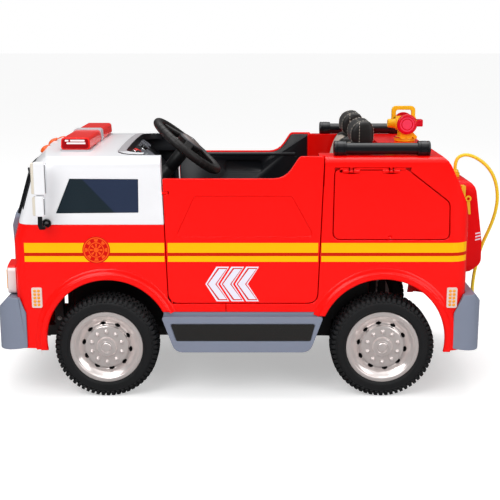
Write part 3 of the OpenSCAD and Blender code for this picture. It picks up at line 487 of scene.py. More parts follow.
battery = moulded("battery_case", "battery", 1.5)
finished(battery, black_plastic, "root", "black_plastic", "battery")
battery_low, battery_high = box_of("battery")
MIDDLE_X = (battery_low[0] + battery_high[0]) / 2
top = battery_high[2]
strap = soften(plate("strap", [(-battery_high[1] - 1.5, 152), (-battery_high[1] - 1.5, top + 1.5),
                               (battery_high[1] + 1.5, top + 1.5), (battery_high[1] + 1.5, 152),
                               (battery_high[1], 152), (battery_high[1], top), (-battery_high[1], top),
                               (-battery_high[1], 152)], "X", MIDDLE_X - 14, MIDDLE_X + 14), 0.4)
finished(strap, webbing, "root", "black_plastic")
terminals = joined("battery_terminals",
                   [turned("terminal", [(0, top - 1), (6, top - 1), (6, top + 5), (4.4, top + 6),
                                        (4.4, top + 11), (0, top + 11.5)],
                           (battery_high[0] - 16, side * 48, 0), sides=20) for side in (-1, 1)])
finished(terminals, red_plastic, "root", "red_plastic")

gearboxes = moulded("gear_cases", "drive_gearboxes", 2.5, 3)
finished(gearboxes, black_plastic, "root", "black_plastic", "drive_gearboxes")
GEAR_OUT = box_of("drive_gearboxes")[1].y
case_screws = []
for turn in range(6):
    angle = math.radians(60 * turn + 30)
    case_screws.append(turned("screw", [(0, 0), (3.4, 0), (3.2, 1.4), (1.4, 2), (1.2, 1), (0, 1)],
                              (REAR_X + 38 * math.cos(angle), GEAR_OUT, WHEEL_Z + 38 * math.sin(angle)),
                              (0, 1, 0), 12))
case_ribs = [turned("rib", [(39.5, y), (47.2, y), (47.6, y + 1.5), (47.2, y + 3), (39.5, y + 3), (39.5, y)],
                    (REAR_X, 0, WHEEL_Z), (0, 1, 0), 40) for y in (146, 158, 214)]
case_trim = both_sides(joined("gear_case_trim", case_ribs + case_screws))
finished(case_trim, black_plastic, "root", "black_plastic")

# ---- tyres ----
# Foamed black tyres: a turned ring with ribbed walls, two staggered rows of blocks
# and shoulder lugs that wrap over onto the wall.

LUGS = 60


def ring_of(piece, count, axis=(0, 1, 0)):
    """Repeats a piece evenly round an axis through the origin."""
    open_mesh(piece)
    bpy.ops.mesh.spin(steps=count - 1, dupli=True, angle=math.tau * (count - 1) / count, center=(0, 0, 0),
                      axis=axis)
    close_mesh()
    return piece


tyre_rubber = finish("tyre_rubber", (0.011, 0.0115, 0.013), 0.5, mottle=0.3, size=700, depth=0.4,
                     Specular_IOR_Level=0.35)
TYRE_R = (wheel_high[2] - wheel_low[2]) / 2
half_wall = [(TYRE_R - 5, 8), (TYRE_R - 5, 24), (TYRE_R - 6.5, 28), (TYRE_R - 12, 34), (TYRE_R - 16, 36.4),
             (TYRE_R - 18, 37.2), (TYRE_R - 19, 36.6), (TYRE_R - 20, 37.4), (TYRE_R - 28, 37.8),
             (TYRE_R - 34, 37.6), (TYRE_R - 35, 36.8), (TYRE_R - 36, 37.4), (TYRE_R - 38.5, 36.6),
             (TYRE_R - 42, 34), (TYRE_R - 46, 30), (TYRE_R - 48, 27.5)]
other_wall = [(r, -y) for r, y in reversed(half_wall)]
ring = turned("tyre_ring", other_wall + half_wall + [(half_wall[-1][0], -27.5)], axis=(0, 1, 0), sides=96)
lug = soften(plate("lug", [(22.5, TYRE_R - 7), (22.5, TYRE_R - 0.2), (30, TYRE_R - 0.4), (34.5, TYRE_R - 3),
                           (38, TYRE_R - 13), (36, TYRE_R - 15)], "X", -4.4, 4.4), 0.7, 1)
row = soften(plate("row", [(12.2, TYRE_R - 7), (12.2, TYRE_R), (21, TYRE_R), (21, TYRE_R - 7)], "X", -5, 5),
             0.7, 1)
inner = soften(plate("inner", [(0.8, TYRE_R - 7), (0.8, TYRE_R), (10.4, TYRE_R), (10.4, TYRE_R - 7)],
                     "X", -5, 5), 0.7, 1)
inner.rotation_euler.y = math.radians(180 / LUGS)
settle(inner)
blocks = joined("blocks", [ring_of(block, LUGS) for block in (lug, row, inner)])
tyre = joined("tyre", [ring, blocks, copied(blocks, "inner_side", mirrored=True)])
cover(tyre, tyre_rubber)

# ---- wheel rims ----
# One chromed plastic dish per wheel: a flat flange, a sloping wall with ten blind hand
# holes whose black is painted shade, a raised disc with ten domed nuts and a centre cap. Its chrome is faintly
# warm.

NUTS = 10
rim_chrome = finish("rim_chrome", (0.86, 0.79, 0.77), 0.15, mottle=0.05, size=60, depth=0.08, Metallic=0.58)
hole_painted_shade = finish("hole_painted_shade", (0.006, 0.006, 0.008), 0.7, mottle=0.2)
dish = turned("dish", [(0, 41), (8, 41), (11, 40.4), (12.2, 38.8), (14, 38), (21, 37.6), (25.5, 36),
                       (27.6, 33), (28.4, 31), (30, 30.4), (48, 31.6), (55, 31), (58.2, 29.4), (58.8, 26),
                       (59, 20), (59.4, 17.6), (61, 16.8), (66, 17.4), (69.4, 19.4), (73, 23.5), (77, 27.8),
                       (81, 31), (85, 33.4), (86.4, 34.8), (87.6, 37.2), (90, 38.6), (95, 38.4), (98.4, 37.2),
                       (99.8, 35.2), (99.2, 33), (96.6, 31), (94.2, 29.6), (93.6, 28), (93.6, -26), (60, -26),
                       (56, -14), (9, -14), (7, -16), (0, -16)], axis=(0, 1, 0), sides=80)
cover(dish, rim_chrome)
pick_none()
bpy.ops.mesh.primitive_uv_sphere_add(segments=20, ring_count=12, radius=1)
hole = bpy.context.object
hole.scale = [v * MM for v in (8.2, 16, 5)]
hole.location = (0, 20 * MM, 64.6 * MM)
settle(hole)
hole.rotation_euler.y = math.radians(9)
settle(ring_of(hole, NUTS))
# the pockets do not go through; their black is painted shade standing for the dark inside of real holes
cover(hole, hole_painted_shade)
with_modifier(dish, "BOOLEAN", operation="DIFFERENCE", object=hole, solver="EXACT", material_mode="TRANSFER")
bpy.data.objects.remove(hole)
smooth(dish, 40)
nut = turned("nut", [(0, 39.2), (2.2, 38.8), (3.9, 37.4), (4.8, 35.4), (5, 33.6), (6.2, 33), (6.4, 30.6),
                     (0, 30.6)], (0, 0, 43), (0, 1, 0), 14)
cap_ring = turned("cap_ring", [(15.4, 37), (15.4, 38.7), (16.4, 39.1), (17.4, 38.7), (17.6, 37), (15.4, 37)],
                  axis=(0, 1, 0), sides=48)
nuts = ring_of(nut, NUTS)
cover(nuts, rim_chrome)
cover(cap_ring, rim_chrome)
rim = joined("rim", [nuts, cap_ring, dish])

for corner, x, side in (("front_left", FRONT_X, 1), ("front_right", FRONT_X, -1),
                        ("rear_left", REAR_X, 1), ("rear_right", REAR_X, -1)):
    for part, slot in ((tyre, "tyre"), (rim, "chrome_rim")):
        wheel_part = copied(part, f"{part.name}_finished_{corner}", mirrored=side < 0)
        fitted(moved(wheel_part, x, side * WHEEL_Y, WHEEL_Z), "wheel_" + corner, slot,
               f"{part.name}_{corner}")
for part in (tyre, rim):
    bpy.data.objects.remove(part)

# ---- red body shells ----
# Two blow moulded shells of glossy red plastic, joined at the sill and screwed to the
# frame's stays. Each wheel arch has a broad rounded lip that runs softly into the side.

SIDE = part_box("door_left")[1].y / MM
FRONT_ARCH = (FRONT_X - 9, 167, 168)
REAR_ARCH = (REAR_X + 3, 167, 170)
LIP_W, LIP_OUT = 19, 7


def swept(name, section, centre, start, end, steps=40):
    """A section of (radius, y) pairs swept round a line along Y, between angles from +X in degrees."""
    ring = plate(name, section, "Z", 0, 1)
    for vertex in ring.data.vertices:
        vertex.co.z = 0
    open_mesh(ring)
    bpy.ops.mesh.remove_doubles(threshold=0.00001)
    bpy.ops.mesh.delete(type="ONLY_FACE")
    bpy.ops.mesh.select_all(action="SELECT")
    bpy.ops.mesh.spin(steps=steps, angle=math.radians(end - start), center=(0, 0, 0), axis=(0, 1, 0))
    close_mesh(outward=True)
    ring.rotation_euler.y = math.radians(-start)
    return smooth(moved(ring, centre[0], 0, centre[1]), 50)


def rounded_where(piece, width, steps, test):
    """Rounds by width millimetres those sharp edges whose ends pass a test of their place in millimetres."""
    pick(piece)
    bpy.ops.object.mode_set(mode="EDIT")
    bpy.ops.mesh.select_mode(type="EDGE")
    bpy.ops.mesh.select_all(action="DESELECT")
    bpy.ops.mesh.edges_select_sharp(sharpness=math.radians(30))
    bpy.ops.object.mode_set(mode="OBJECT")
    points = piece.data.vertices
    for edge in piece.data.edges:
        edge.select = edge.select and all(test(points[i].co / MM) for i in edge.vertices)
    for point in points:
        point.select = False
    for face in piece.data.polygons:
        face.select = False
    for edge in piece.data.edges:
        if edge.select:
            for i in edge.vertices:
                points[i].select = True
    bpy.ops.object.mode_set(mode="EDIT")
    bpy.ops.mesh.bevel(offset=width * MM, segments=steps, affect="EDGES", clamp_overlap=False)
    bpy.ops.mesh.select_mode(type="VERT")
    bpy.ops.object.mode_set(mode="OBJECT")
    return piece


def shell(node, width):
    """A shell with its outer seams rounded by 1.6 mm, the arch lips' edges far more and the rest by width."""
    piece = moulded(node + "_moulded", node, 0)
    rounded_where(piece, 6.2, 5, lambda p: abs(p.y) > SIDE + LIP_OUT - 0.5)
    rounded_where(piece, 1.6, 2, lambda p: SIDE - 0.3 < abs(p.y) < SIDE + 0.3)
    return soften(piece, width, 1, clamp=False)


fillet = [(LIP_W - 2, SIDE - 1), (LIP_W - 2, SIDE + 5), (LIP_W - 0.6, SIDE + 3.8), (LIP_W + 2, SIDE + 2.2),
          (LIP_W + 6, SIDE + 1), (LIP_W + 12, SIDE + 0.25), (LIP_W + 13, SIDE - 1)]
arch_fillets = {}
for name, (x, z, r), start, end in (("front", FRONT_ARCH, -8, 156), ("rear", REAR_ARCH, 21, 188)):
    arch_fillets[name] = both_sides(swept(name + "_arch_fillet", [(r + a, b) for a, b in fillet], (x, z),
                                          start, end))
# a web behind the groove for each locker lid's upper edge, so that no light comes through
web = both_sides(plate("groove_web", rectangle(REAR_X - 66, 621, REAR_X + 156, 643, 3), "Y", SIDE - 14.6,
                       SIDE - 12.6))
front_shell = joined("front_body", [arch_fillets["front"], shell("front_shell", 0.7)])
rear_shell = joined("rear_body", [web, arch_fillets["rear"], shell("rear_shell", 0.7)])
for piece, node in ((front_shell, "front_shell"), (rear_shell, "rear_shell")):
    finished(piece, red_plastic, "root", "red_plastic", node)

# ---- white cab ----
# The upper cab is one white shell over the nose, screwed down behind the seam.


def cut_across(piece, place, direction):
    """Cuts a piece's faces along a plane, in millimetres, and leaves both sides joined."""
    open_mesh(piece, "FACE")
    bpy.ops.mesh.bisect(plane_co=[v * MM for v in place], plane_no=direction)
    close_mesh()


white_plastic = finish("white_plastic", (0.87, 0.875, 0.90), 0.28, mottle=0.02, size=300, depth=0.05,
                       Coat_Weight=0.1)
liner_plastic = finish("liner_plastic", (0.008, 0.009, 0.012), 0.32, mottle=0.2, size=900, depth=0.3,
                       Specular_IOR_Level=0.35)
black_gloss = finish("black_gloss", (0.006, 0.007, 0.009), 0.17, mottle=0.08, size=200, depth=0.03)
cab = moulded("cab", "cab_shell", 1.2)
TAB_X = 213
SCREEN_LOW, SCREEN_TOP = 524, 632
cut_across(cab, (TAB_X, 0, 0), (1, 0, 0))
cut_across(cab, (0, 0, SCREEN_LOW), (0, 0, 1))
cut_across(cab, (0, 0, SCREEN_TOP), (0, 0, 1))
cover(cab, white_plastic, red_plastic, liner_plastic, black_gloss)
for vertex in cab.data.vertices:
    if vertex.co.x < (TAB_X - 1) * MM and 548 < vertex.co.z / MM < 590:
        vertex.co.y *= 0.9985   # the hinge tabs stand a little back, clear of the opened doors
for face in cab.data.polygons:
    corners = [cab.data.vertices[i].co / MM for i in face.vertices]
    if all(c.x < TAB_X + 1 and 548 < c.z < 590 for c in corners):
        face.material_index = 1     # the hinge tabs behind the doors' front edges
    elif (face.normal.x > 0.8 and all(SCREEN_LOW - 0.1 < c.z < SCREEN_TOP + 0.1 for c in corners)
          and abs(face.center.y) > 0.2):
        face.material_index = 3     # the black band that carries the windscreen round to the sides
    elif (all(abs(c.y) < SIDE - 4 for c in corners)
          and face.normal.y * face.center.y < -0.15 * abs(face.center.y)):
        face.material_index = 2     # the dark lining of the cab's inner sides
fitted(cab, "root", "white_plastic", "cab_shell")

# ---- doors ----
# Two hinged doors of red plastic, each with a shallow pressed panel, and a black liner
# screwed on inside that has a ledge and a recess for the hand.

PANEL = [(127, 563), (-131, 563), (-192, 453), (178, 453)]
door_shape = moulded("door_shape", "door_left", 0)
press = plate("press", rounded(PANEL, 10), "Y", SIDE - 1.6, SIDE + 10)
with_modifier(door_shape, "BOOLEAN", operation="DIFFERENCE", object=press, solver="EXACT")
bpy.data.objects.remove(press)
door_shape = soften(door_shape, 1.6, 3, clamp=False)
liner_shape = moulded("liner_shape", "door_liner_left", 1.8)
low, high = box_of("door_liner_left")
LEDGE_Z = high[2] - 62
ledge = soften(plate("ledge", [(low[1] - 3.5, LEDGE_Z - 5), (low[1] - 3.5, LEDGE_Z + 1),
                               (low[1] + 1, LEDGE_Z + 5), (low[1] + 1, LEDGE_Z - 7)], "X", -166, 150), 1)
screws = joined("screws", [turned("screw", [(0, 0), (4, 0), (3.6, 1.2), (1.6, 1.8), (1.4, 1), (0, 1)],
                                  (x, low[1], z), (0, -1, 0), 16) for x,
                           z in ((120, 590), (20, 596), (-80, 596), (-168, 590), (150, 330), (-160, 330))])
liner_shape = joined("liner_shape", [screws, ledge, liner_shape])
cover(door_shape, red_plastic)
cover(liner_shape, liner_plastic)
doors = {}
for side, mirrored in (("left", False), ("right", True)):
    doors[side] = fitted(copied(door_shape, "door_skin_" + side, mirrored=mirrored), "door_" + side,
                         "red_plastic", "door_" + side)
    fitted(copied(liner_shape, "door_trim_" + side, mirrored=mirrored), "door_" + side, "black_plastic",
           "door_liner_" + side)
for piece in (door_shape, liner_shape):
    bpy.data.objects.remove(piece)

# ---- locker lids ----
# A lid on each side of the rear body, flush in the skin on two pin hinges, with a
# finger notch in its lower edge.

lid_high = box_of("locker_lid_left")[1]
HINGE_Z, HINGE_ROOM = lid_high.z - 4, 6.6
HINGES = (REAR_X + 97, REAR_X - 8)
edges = (lid_high.x - 14, HINGES[0] + HINGE_ROOM, HINGES[0] - HINGE_ROOM, HINGES[1] + HINGE_ROOM,
         HINGES[1] - HINGE_ROOM, REAR_X - 46)
lip_shapes = []
for x1, x0 in zip(edges[::2], edges[1::2]):
    # the lid's skin runs on past the hinge line, inside the groove that the shell leaves for it
    lip_shapes.append(soften(plate("lid_lip",
                                   [(SIDE - 0.5, HINGE_Z + 2), (SIDE - 0.5, HINGE_Z + 8.4),
                                    (SIDE - 2.2, HINGE_Z + 9), (SIDE - 2.6, HINGE_Z + 2)], "X", x0, x1), 0.5))
for x1, x0 in ((lid_high.x - 20, HINGES[0] + 22.4), (HINGES[0] - 22.4, HINGES[1] + 22.4),
               (HINGES[1] - 22.4, REAR_X - 44)):
    # a flat band joins the skin and its lip between the barrels
    lip_shapes.append(plate("lid_band", rectangle(x0, HINGE_Z - 12, x1, HINGE_Z + 2.4, 0.6), "Y", SIDE - 1.2,
                            SIDE - 0.3))
lid_shape = joined("lid_shape", lip_shapes + [moulded("lid_shape", "locker_lid_left", 0.7)])
cover(lid_shape, red_plastic)
for side, mirrored in (("left", False), ("right", True)):
    fitted(copied(lid_shape, "lid_skin_" + side, mirrored=mirrored), "locker_lid_" + side, "red_plastic",
           "locker_lid_" + side)
bpy.data.objects.remove(lid_shape)

# ---- stripes, badge and arrows ----
# Stickers a third of a millimetre thick: two amber stripes with a dark line between
# them, a plain ring badge and three blank arrows where a number could go.

amber_film = finish("amber_film", (1, 0.50, 0.0005), 0.3, mottle=0.02, depth=0.02, Specular_IOR_Level=0.1)
dark_film = finish("dark_film", (0.60, 0.012, 0.001), 0.3, mottle=0.02, depth=0.02, Specular_IOR_Level=0.1)
badge_red = finish("badge_red", (0.66, 0.004, 0.002), 0.3, mottle=0.02, depth=0.02, Specular_IOR_Level=0.1)
badge_orange = finish("badge_orange", (0.95, 0.10, 0.01), 0.3, mottle=0.02, depth=0.02,
                      Specular_IOR_Level=0.1)
white_film = finish("white_film", (0.85, 0.83, 0.95), 0.3, mottle=0.02, depth=0.02)
FILM = 0.35
BANDS = (("upper", 410.5, 437, amber_film), ("between", 402, 409.6, dark_film),
         ("lower", 385.5, 401.2, amber_film))


def film_strip(name, x0, x1, z0, z1, target, material):
    """A strip of film laid on a shell's side from outside, following its curve."""
    pick_none()
    bpy.ops.mesh.primitive_grid_add(x_subdivisions=240, y_subdivisions=3, size=1)
    strip = bpy.context.object
    strip.name = name
    for vertex in strip.data.vertices:
        x, z = vertex.co.x + 0.5, vertex.co.y + 0.5
        vertex.co = ((x0 + (x1 - x0) * x) * MM, (SIDE + 60) * MM, (z0 + (z1 - z0) * z) * MM)
    with_modifier(strip, "SHRINKWRAP", target=target, wrap_method="PROJECT", use_project_y=True,
                  use_negative_direction=True, use_positive_direction=False, offset=FILM * MM)
    cover(strip, material)
    return strip


SEAM_FRONT, SEAM_REAR = 204.3, -206.3
parts = {"root": [], "door_left": []}
for label, z0, z1, film in BANDS:
    parts["root"].append(film_strip("front_" + label, SEAM_FRONT + 4.5, 583, z0, z1, front_shell, film))
    parts["root"].append(film_strip("rear_" + label, -602, SEAM_REAR - 4.5, z0, z1, rear_shell, film))
    parts["door_left"].append(film_strip("door_" + label, SEAM_REAR + 4.5, SEAM_FRONT - 4.5, z0, z1,
                                         doors["left"], film))
for tip in (96, 56, 16):
    for grow, out, film in ((5, FILM, white_film), (1.6, FILM + 0.12, badge_red),
                            (-1.2, FILM + 0.24, white_film)):
        half, thick, reach = 43 + grow, 11 + 1.2 * grow, 30
        arrow = plate("arrow", [(tip - 13 + thick, 324), (tip - 13 + thick - reach, 324 + half),
                                (tip - 13 - thick - reach, 324 + half), (tip - 13 - thick, 324),
                                (tip - 13 - thick - reach, 324 - half),
                                (tip - 13 + thick - reach, 324 - half)], "Y", SIDE - 0.1, SIDE + out)
        cover(arrow, film)
        parts["door_left"].append(arrow)
BADGE = (390.5, 418)
for name, r, inner, out, film in (("disc", 37, 0, 0.5, badge_red), ("edge", 34.5, 31.5, 0.7, badge_orange),
                                  ("middle", 21, 18.5, 0.7, badge_orange),
                                  ("heart", 7, 0, 0.7, badge_orange)):
    disc = turned("badge_" + name, [(inner, SIDE - 0.1), (r, SIDE - 0.1), (r, SIDE + out),
                                    (inner, SIDE + out), (inner, SIDE - 0.1)], (BADGE[0], 0, BADGE[1]),
                  (0, 1, 0), 48)
    cover(disc, film)
    parts["root"].append(disc)
petal = plate("petal", [(-3.4, 22.5), (-6, 29.5), (6, 29.5), (3.4, 22.5)], "Y", SIDE - 0.1, SIDE + 0.7)
spoke = plate("spoke", [(-1.6, 8.5), (-3, 16.5), (3, 16.5), (1.6, 8.5)], "Y", SIDE - 0.1, SIDE + 0.7)
for piece in (petal, spoke):
    cover(piece, badge_orange)
    parts["root"].append(moved(ring_of(piece, 8), BADGE[0], 0, BADGE[1]))
body_films = both_sides(joined("body_stickers", parts["root"]))
fitted(body_films, "root", "yellow_plastic")
door_films = joined("door_stickers_left", parts["door_left"])
other_films = copied(door_films, "door_stickers_right", mirrored=True)
fitted(door_films, "door_left", "yellow_plastic")
fitted(other_films, "door_right", "yellow_plastic")

# ---- windows, windscreen and wipers ----
# Blank dark panels snapped into the cab: smoked side windows with a printed glare and a
# gloss black windscreen with two moulded wipers.

glass_black = finish("glass_black", (0.018, 0.026, 0.036), 0.14, mottle=0.1, size=60, depth=0.02,
                     Specular_IOR_Level=0.12)
tree = glass_black.node_tree
place = shader_node(tree, "TexCoord").outputs["Object"]
slope = shader_node(tree, "VectorMath", "DOT_PRODUCT", _0=place, _1=(1, 0, -0.93))
glare = shader_node(tree, "MapRange", Value=slope.outputs["Value"], From_Min=-0.141, From_Max=-0.147)
tinted = colour_mix(tree, glare.outputs["Result"], (0.016, 0.026, 0.034, 1), (0.026, 0.038, 0.075, 1))
tree.links.new(tinted, tree.nodes["skin"].inputs["Colour"])
windows = moulded("side_glass", "side_windows", 0.5)
finished(windows, glass_black, "root", "black_gloss", "side_windows")

screen = moulded("screen", "windscreen", 1)
finished(screen, black_gloss, "root", "black_gloss", "windscreen")
wipers = []
for side in (-1, 1):
    blade = soften(plate("blade", rectangle(0, 8, 3.4, 158, 1.6), "X", 1.4, 5), 0.6)
    arm = soften(plate("arm", [(-1, -4), (5, -4), (3.4, 90), (0.6, 90)], "X", 0.6, 3.6), 0.5)
    hub = turned("hub", [(0, 5), (5, 5), (6.6, 3.4), (7, 0), (0, 0)], (0, 2, 0), (1, 0, 0), 24)
    wiper = joined("wiper", [blade, arm, hub])
    wiper.rotation_euler = (math.radians(side * 52), 0, 0)
    settle(wiper)
    wiper.rotation_euler = (0, math.radians(-17), math.radians(side * 4))
    wiper.location = (627 * MM, side * 30 * MM, 516 * MM)
    wipers.append(settle(wiper))
wipers = joined("wipers", wipers)
finished(wipers, black_plastic, "root", "black_plastic")

# ---- grille, headlamps and marker lamps ----
# A blue-gray slotted panel between two red lamp pods with clear lenses, amber reflectors
# on the sides and a row of amber lamps along the roof's front edge.

grey_plastic = finish("grey_plastic", (0.225, 0.255, 0.335), 0.34, mottle=0.06, size=500, depth=0.15,
                      Specular_IOR_Level=0.25)
dark_grey = finish("dark_grey", (0.06, 0.065, 0.08), 0.4, mottle=0.1, size=700, depth=0.2)
pale_plastic = finish("pale_plastic", (0.82, 0.66, 0.60), 0.3, mottle=0.05)
amber_lens = finish("amber_lens", (0.95, 0.36, 0.02), 0.14, mottle=0.05, size=200, depth=0.02,
                    Coat_Weight=0.4)
orange_lens = finish("orange_lens", (0.9, 0.12, 0.005), 0.18, mottle=0.05, size=200, depth=0.02,
                     Coat_Weight=0.3)
clear_lens = finish("clear_lens", (0.8, 0.8, 0.82), 0.06, mottle=0.05, size=120, depth=0.3, Coat_Weight=0.6)
pod_lens = finish("pod_lens", (0.86, 0.74, 0.73), 0.1, mottle=0.05, size=120, depth=0.2, Coat_Weight=0.4)
LENS_BACK, LENS_TOP = 616, 361

grille = moulded("grille_panel", "grille", 1)
finished(grille, grey_plastic, "root", "grey_plastic", "grille")
pods = moulded("lamp_pods", "headlights", 3, 3)
cut_across(pods, (LENS_BACK, 0, 0), (1, 0, 0))
cut_across(pods, (0, 0, LENS_TOP), (0, 0, 1))
cover(pods, red_plastic, pod_lens)
for face in pods.data.polygons:
    middle = face.center / MM
    if middle.x > LENS_BACK and middle.z < LENS_TOP:
        face.material_index = 1
fitted(pods, "root", "red_plastic", "headlights")


def laid(name, corners, axis, target, gap, cuts=(24, 12)):
    """A sheet between four corners, in millimetres, laid along an axis onto a target."""
    pick_none()
    bpy.ops.mesh.primitive_grid_add(x_subdivisions=cuts[0], y_subdivisions=cuts[1], size=1)
    sheet = bpy.context.object
    sheet.name = name
    a, b, c, d = [Vector(corner) * MM for corner in corners]
    for vertex in sheet.data.vertices:
        u, v = vertex.co.x + 0.5, vertex.co.y + 0.5
        vertex.co = a.lerp(b, u).lerp(d.lerp(c, u), v)
    start = [vertex.co.copy() for vertex in sheet.data.vertices]
    with_modifier(sheet, "SHRINKWRAP", target=target, wrap_method="PROJECT", use_negative_direction=True,
                  use_positive_direction=True, offset=gap * MM, **{"use_project_" + axis: True})
    # what has missed the target is cut away
    for part in (*sheet.data.polygons, *sheet.data.edges):
        part.select = False
    for vertex, old in zip(sheet.data.vertices, start):
        vertex.select = (vertex.co - old).length < 0.5 * MM
    bpy.context.tool_settings.mesh_select_mode = (True, False, False)
    bpy.ops.object.mode_set(mode="EDIT")
    bpy.ops.mesh.delete(type="VERT")
    bpy.ops.object.mode_set(mode="OBJECT")
    return sheet


lamps = []
for y0, y1, z0, z1, lamp in ((196, 240, 300, 354, clear_lens), (246, 278, 300, 354, amber_lens)):
    sheet = laid("lens", [(760, y0, z0), (760, y1, z0), (760, y1, z1), (760, y0, z1)], "x", pods, 0.2)
    cover(sheet, lamp)
    with_modifier(sheet, "SOLIDIFY", thickness=3 * MM, offset=1)
    lamps.append(soften(sheet, 1.2))
lamps = both_sides(joined("lamp_lenses", lamps))
fitted(lamps, "root", "white_plastic")

teardrops = []
for y in (-115, 0, 115):
    # each lamp straddles the roof's front edge, on the shell's own slope
    spot = cab.ray_cast(Vector((0.556, y * MM, 1)), Vector((0, 0, -1)))[1]
    pick_none()
    bpy.ops.mesh.primitive_uv_sphere_add(segments=28, ring_count=16, radius=1)
    drop = bpy.context.object
    for vertex in drop.data.vertices:
        taper = 1 - 0.4 * max(0, -vertex.co.x)
        vertex.co = (vertex.co.x * 17, vertex.co.y * 11.5 * taper, vertex.co.z * 8 * taper)
    drop.scale = (MM, MM, MM)
    drop.rotation_euler.y = math.radians(38)
    drop.location = spot + Vector((0, 0, 1.5 * MM))
    teardrops.append(smooth(settle(drop), 60))
teardrops = joined("roof_lamps", teardrops)
cover(teardrops, orange_lens)
marker_plates = []
for x in (FRONT_X + 181, REAR_X - 181):
    marker_plates.append(soften(plate("marker", rectangle(x - 14, 259, x + 14, 315, 4), "Y", SIDE + 0.2,
                                      SIDE + 5.6), 1))
marker_plates = both_sides(joined("side_markers", marker_plates))
cover(marker_plates, pale_plastic)
bumps = []
for x in (FRONT_X + 181, REAR_X - 181):
    for i in (-1, 1):
        for k in range(5):
            place = (x + i * 5.2, SIDE + 5.6, 287 + (k - 2) * 9.6)
            bump = turned("bump", [(0, 2.6), (2.2, 2.2), (3.8, 0.8), (4.2, 0), (0, 0)], place, (0, 1, 0), 12)
            bumps.append(bump)
bumps = both_sides(joined("marker_bumps", bumps))
cover(bumps, amber_lens)
markers = joined("markers", [bumps, teardrops, marker_plates])
fitted(markers, "root", "amber_lens", "marker_lamps")

# ---- bumpers and side steps ----
# Blue-gray blow moulded bumpers screwed to the frame, the front one with a blank plate,
# and hollow side steps with a black diamond-tread insert on their sloping face.

front_bumper = moulded("bumper_front", "front_bumper", 2.5, 3)
rear_bumper = moulded("bumper_rear", "rear_bumper", 2.5, 3)
for piece, node in ((front_bumper, "front_bumper"), (rear_bumper, "rear_bumper")):
    finished(piece, grey_plastic, "root", "grey_plastic", node)
plate_front = laid("number_plate", [(760, -75, 165), (760, 75, 165), (760, 75, 205), (760, -75, 205)], "x",
                   front_bumper, 0.1)
with_modifier(plate_front, "SOLIDIFY", thickness=2 * MM, offset=1)
soften(plate_front, 0.8)
finished(plate_front, white_plastic, "root", "white_plastic")
slots = []
for y in (-215, -165, 165, 215):
    slot = laid("slot", [(760, y - 18, 172), (760, y + 18, 172), (760, y + 18, 196), (760, y - 18, 196)], "x",
                front_bumper, 0.1)
    with_modifier(slot, "SOLIDIFY", thickness=0.8 * MM, offset=1)
    slots.append(soften(slot, 0.3))
slots = joined("bumper_inlets", slots)
finished(slots, dark_grey, "root", "black_plastic")
tail_lens = moulded("tail_lenses", "tail_lamps", 1.5)
finished(tail_lens, orange_lens, "root", "amber_lens", "tail_lamps")

STEP_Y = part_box("side_steps")[1].y / MM
TREAD = [(197, 215), (-198, 215), (-185, 165), (181, 165)]
step = moulded("step", "side_steps", 0)
recess = both_sides(plate("recess", rounded(TREAD, 5), "Y", STEP_Y - 3, STEP_Y + 10))
with_modifier(step, "BOOLEAN", operation="DIFFERENCE", object=recess, solver="EXACT")
bpy.data.objects.remove(recess)
step = soften(step, 2, 3, clamp=False)
flange = both_sides(soften(plate("flange", rectangle(-214, 262, 215, SIDE - 2, 6), "Z", 230, 245.4), 1.2))
flange_shape = joined("side_steps_moulded", [flange, step])
finished(flange_shape, grey_plastic, "root", "grey_plastic", "side_steps")
tread_black = finish("tread_black", (0.018, 0.017, 0.016), 0.5, mottle=0.2, size=900, depth=0.3)
pad = plate("tread_pad", rounded([(195, 213.4), (-196, 213.4), (-183.8, 166.6), (179.6, 166.6)], 4), "Y",
            STEP_Y - 3, STEP_Y - 1.6)
stud = plate("stud", [(-3.6, 0), (0, -1.3), (3.6, 0), (0, 1.3)], "Y", STEP_Y - 1.8, STEP_Y - 0.9)
studs = []
for row in range(6):
    for column in range(41):
        x, z = -188 + column * 9.4 + (row % 2) * 4.7, 171 + row * 7.6
        if x > 190 - (215 - z) * 0.32 or x < -190 + (215 - z) * 0.26:
            continue
        piece = bpy.data.objects.new("stud", stud.data.copy())
        scene.collection.objects.link(piece)
        piece.rotation_euler.y = math.radians(45 if (row + column) % 2 else -45)
        piece.location = (x * MM, 0, z * MM)
        studs.append(piece)
studs = settle(joined("studs", [settle(piece) for piece in studs]))
bpy.data.objects.remove(stud)
tread = both_sides(joined("step_treads", [studs, pad]))
finished(tread, tread_black, "root", "black_plastic")

# ---- footwell floor ----
# A black moulded tub with ribs underfoot, holding one drive pedal.

tub = moulded("tub", "floor_tub", 1.2)
finished(tub, black_plastic, "root", "black_plastic", "floor_tub")
floor_z = box_of("floor_tub")[0].z + 6.4
ribs = joined("ribs", [soften(plate("rib", rectangle(-150, y - 4, 80, y + 4, 3.9), "Z", floor_z - 0.6,
                                    floor_z + 1.6), 0.6) for y in range(-236, 237, 24)])
finished(ribs, black_plastic, "root", "black_plastic")
pedal = soften(plate("pedal", [(0, 0), (62, 26), (64, 22), (4, -5)], "Y", 92, 132), 1.5)
pedal_ribs = [soften(plate("pedal_rib",
                           [(x, x * 0.42 + 0.4), (x + 4, x * 0.42 + 2.1), (x + 4, x * 0.42 + 4),
                            (x, x * 0.42 + 2.4)], "Y", 95, 129), 0.4) for x in (10, 22, 34, 46)]
pedal = moved(joined("drive_pedal", pedal_ribs + [pedal]), 330, 0, floor_z + 8)
finished(pedal, dark_grey, "root", "black_plastic")

# ---- dashboard and cowl ----
# A black dashboard under a pale gray hood: two dials with plain numbers, a red start
# button, rocker switches, turning knobs, round air vents and a radio panel.

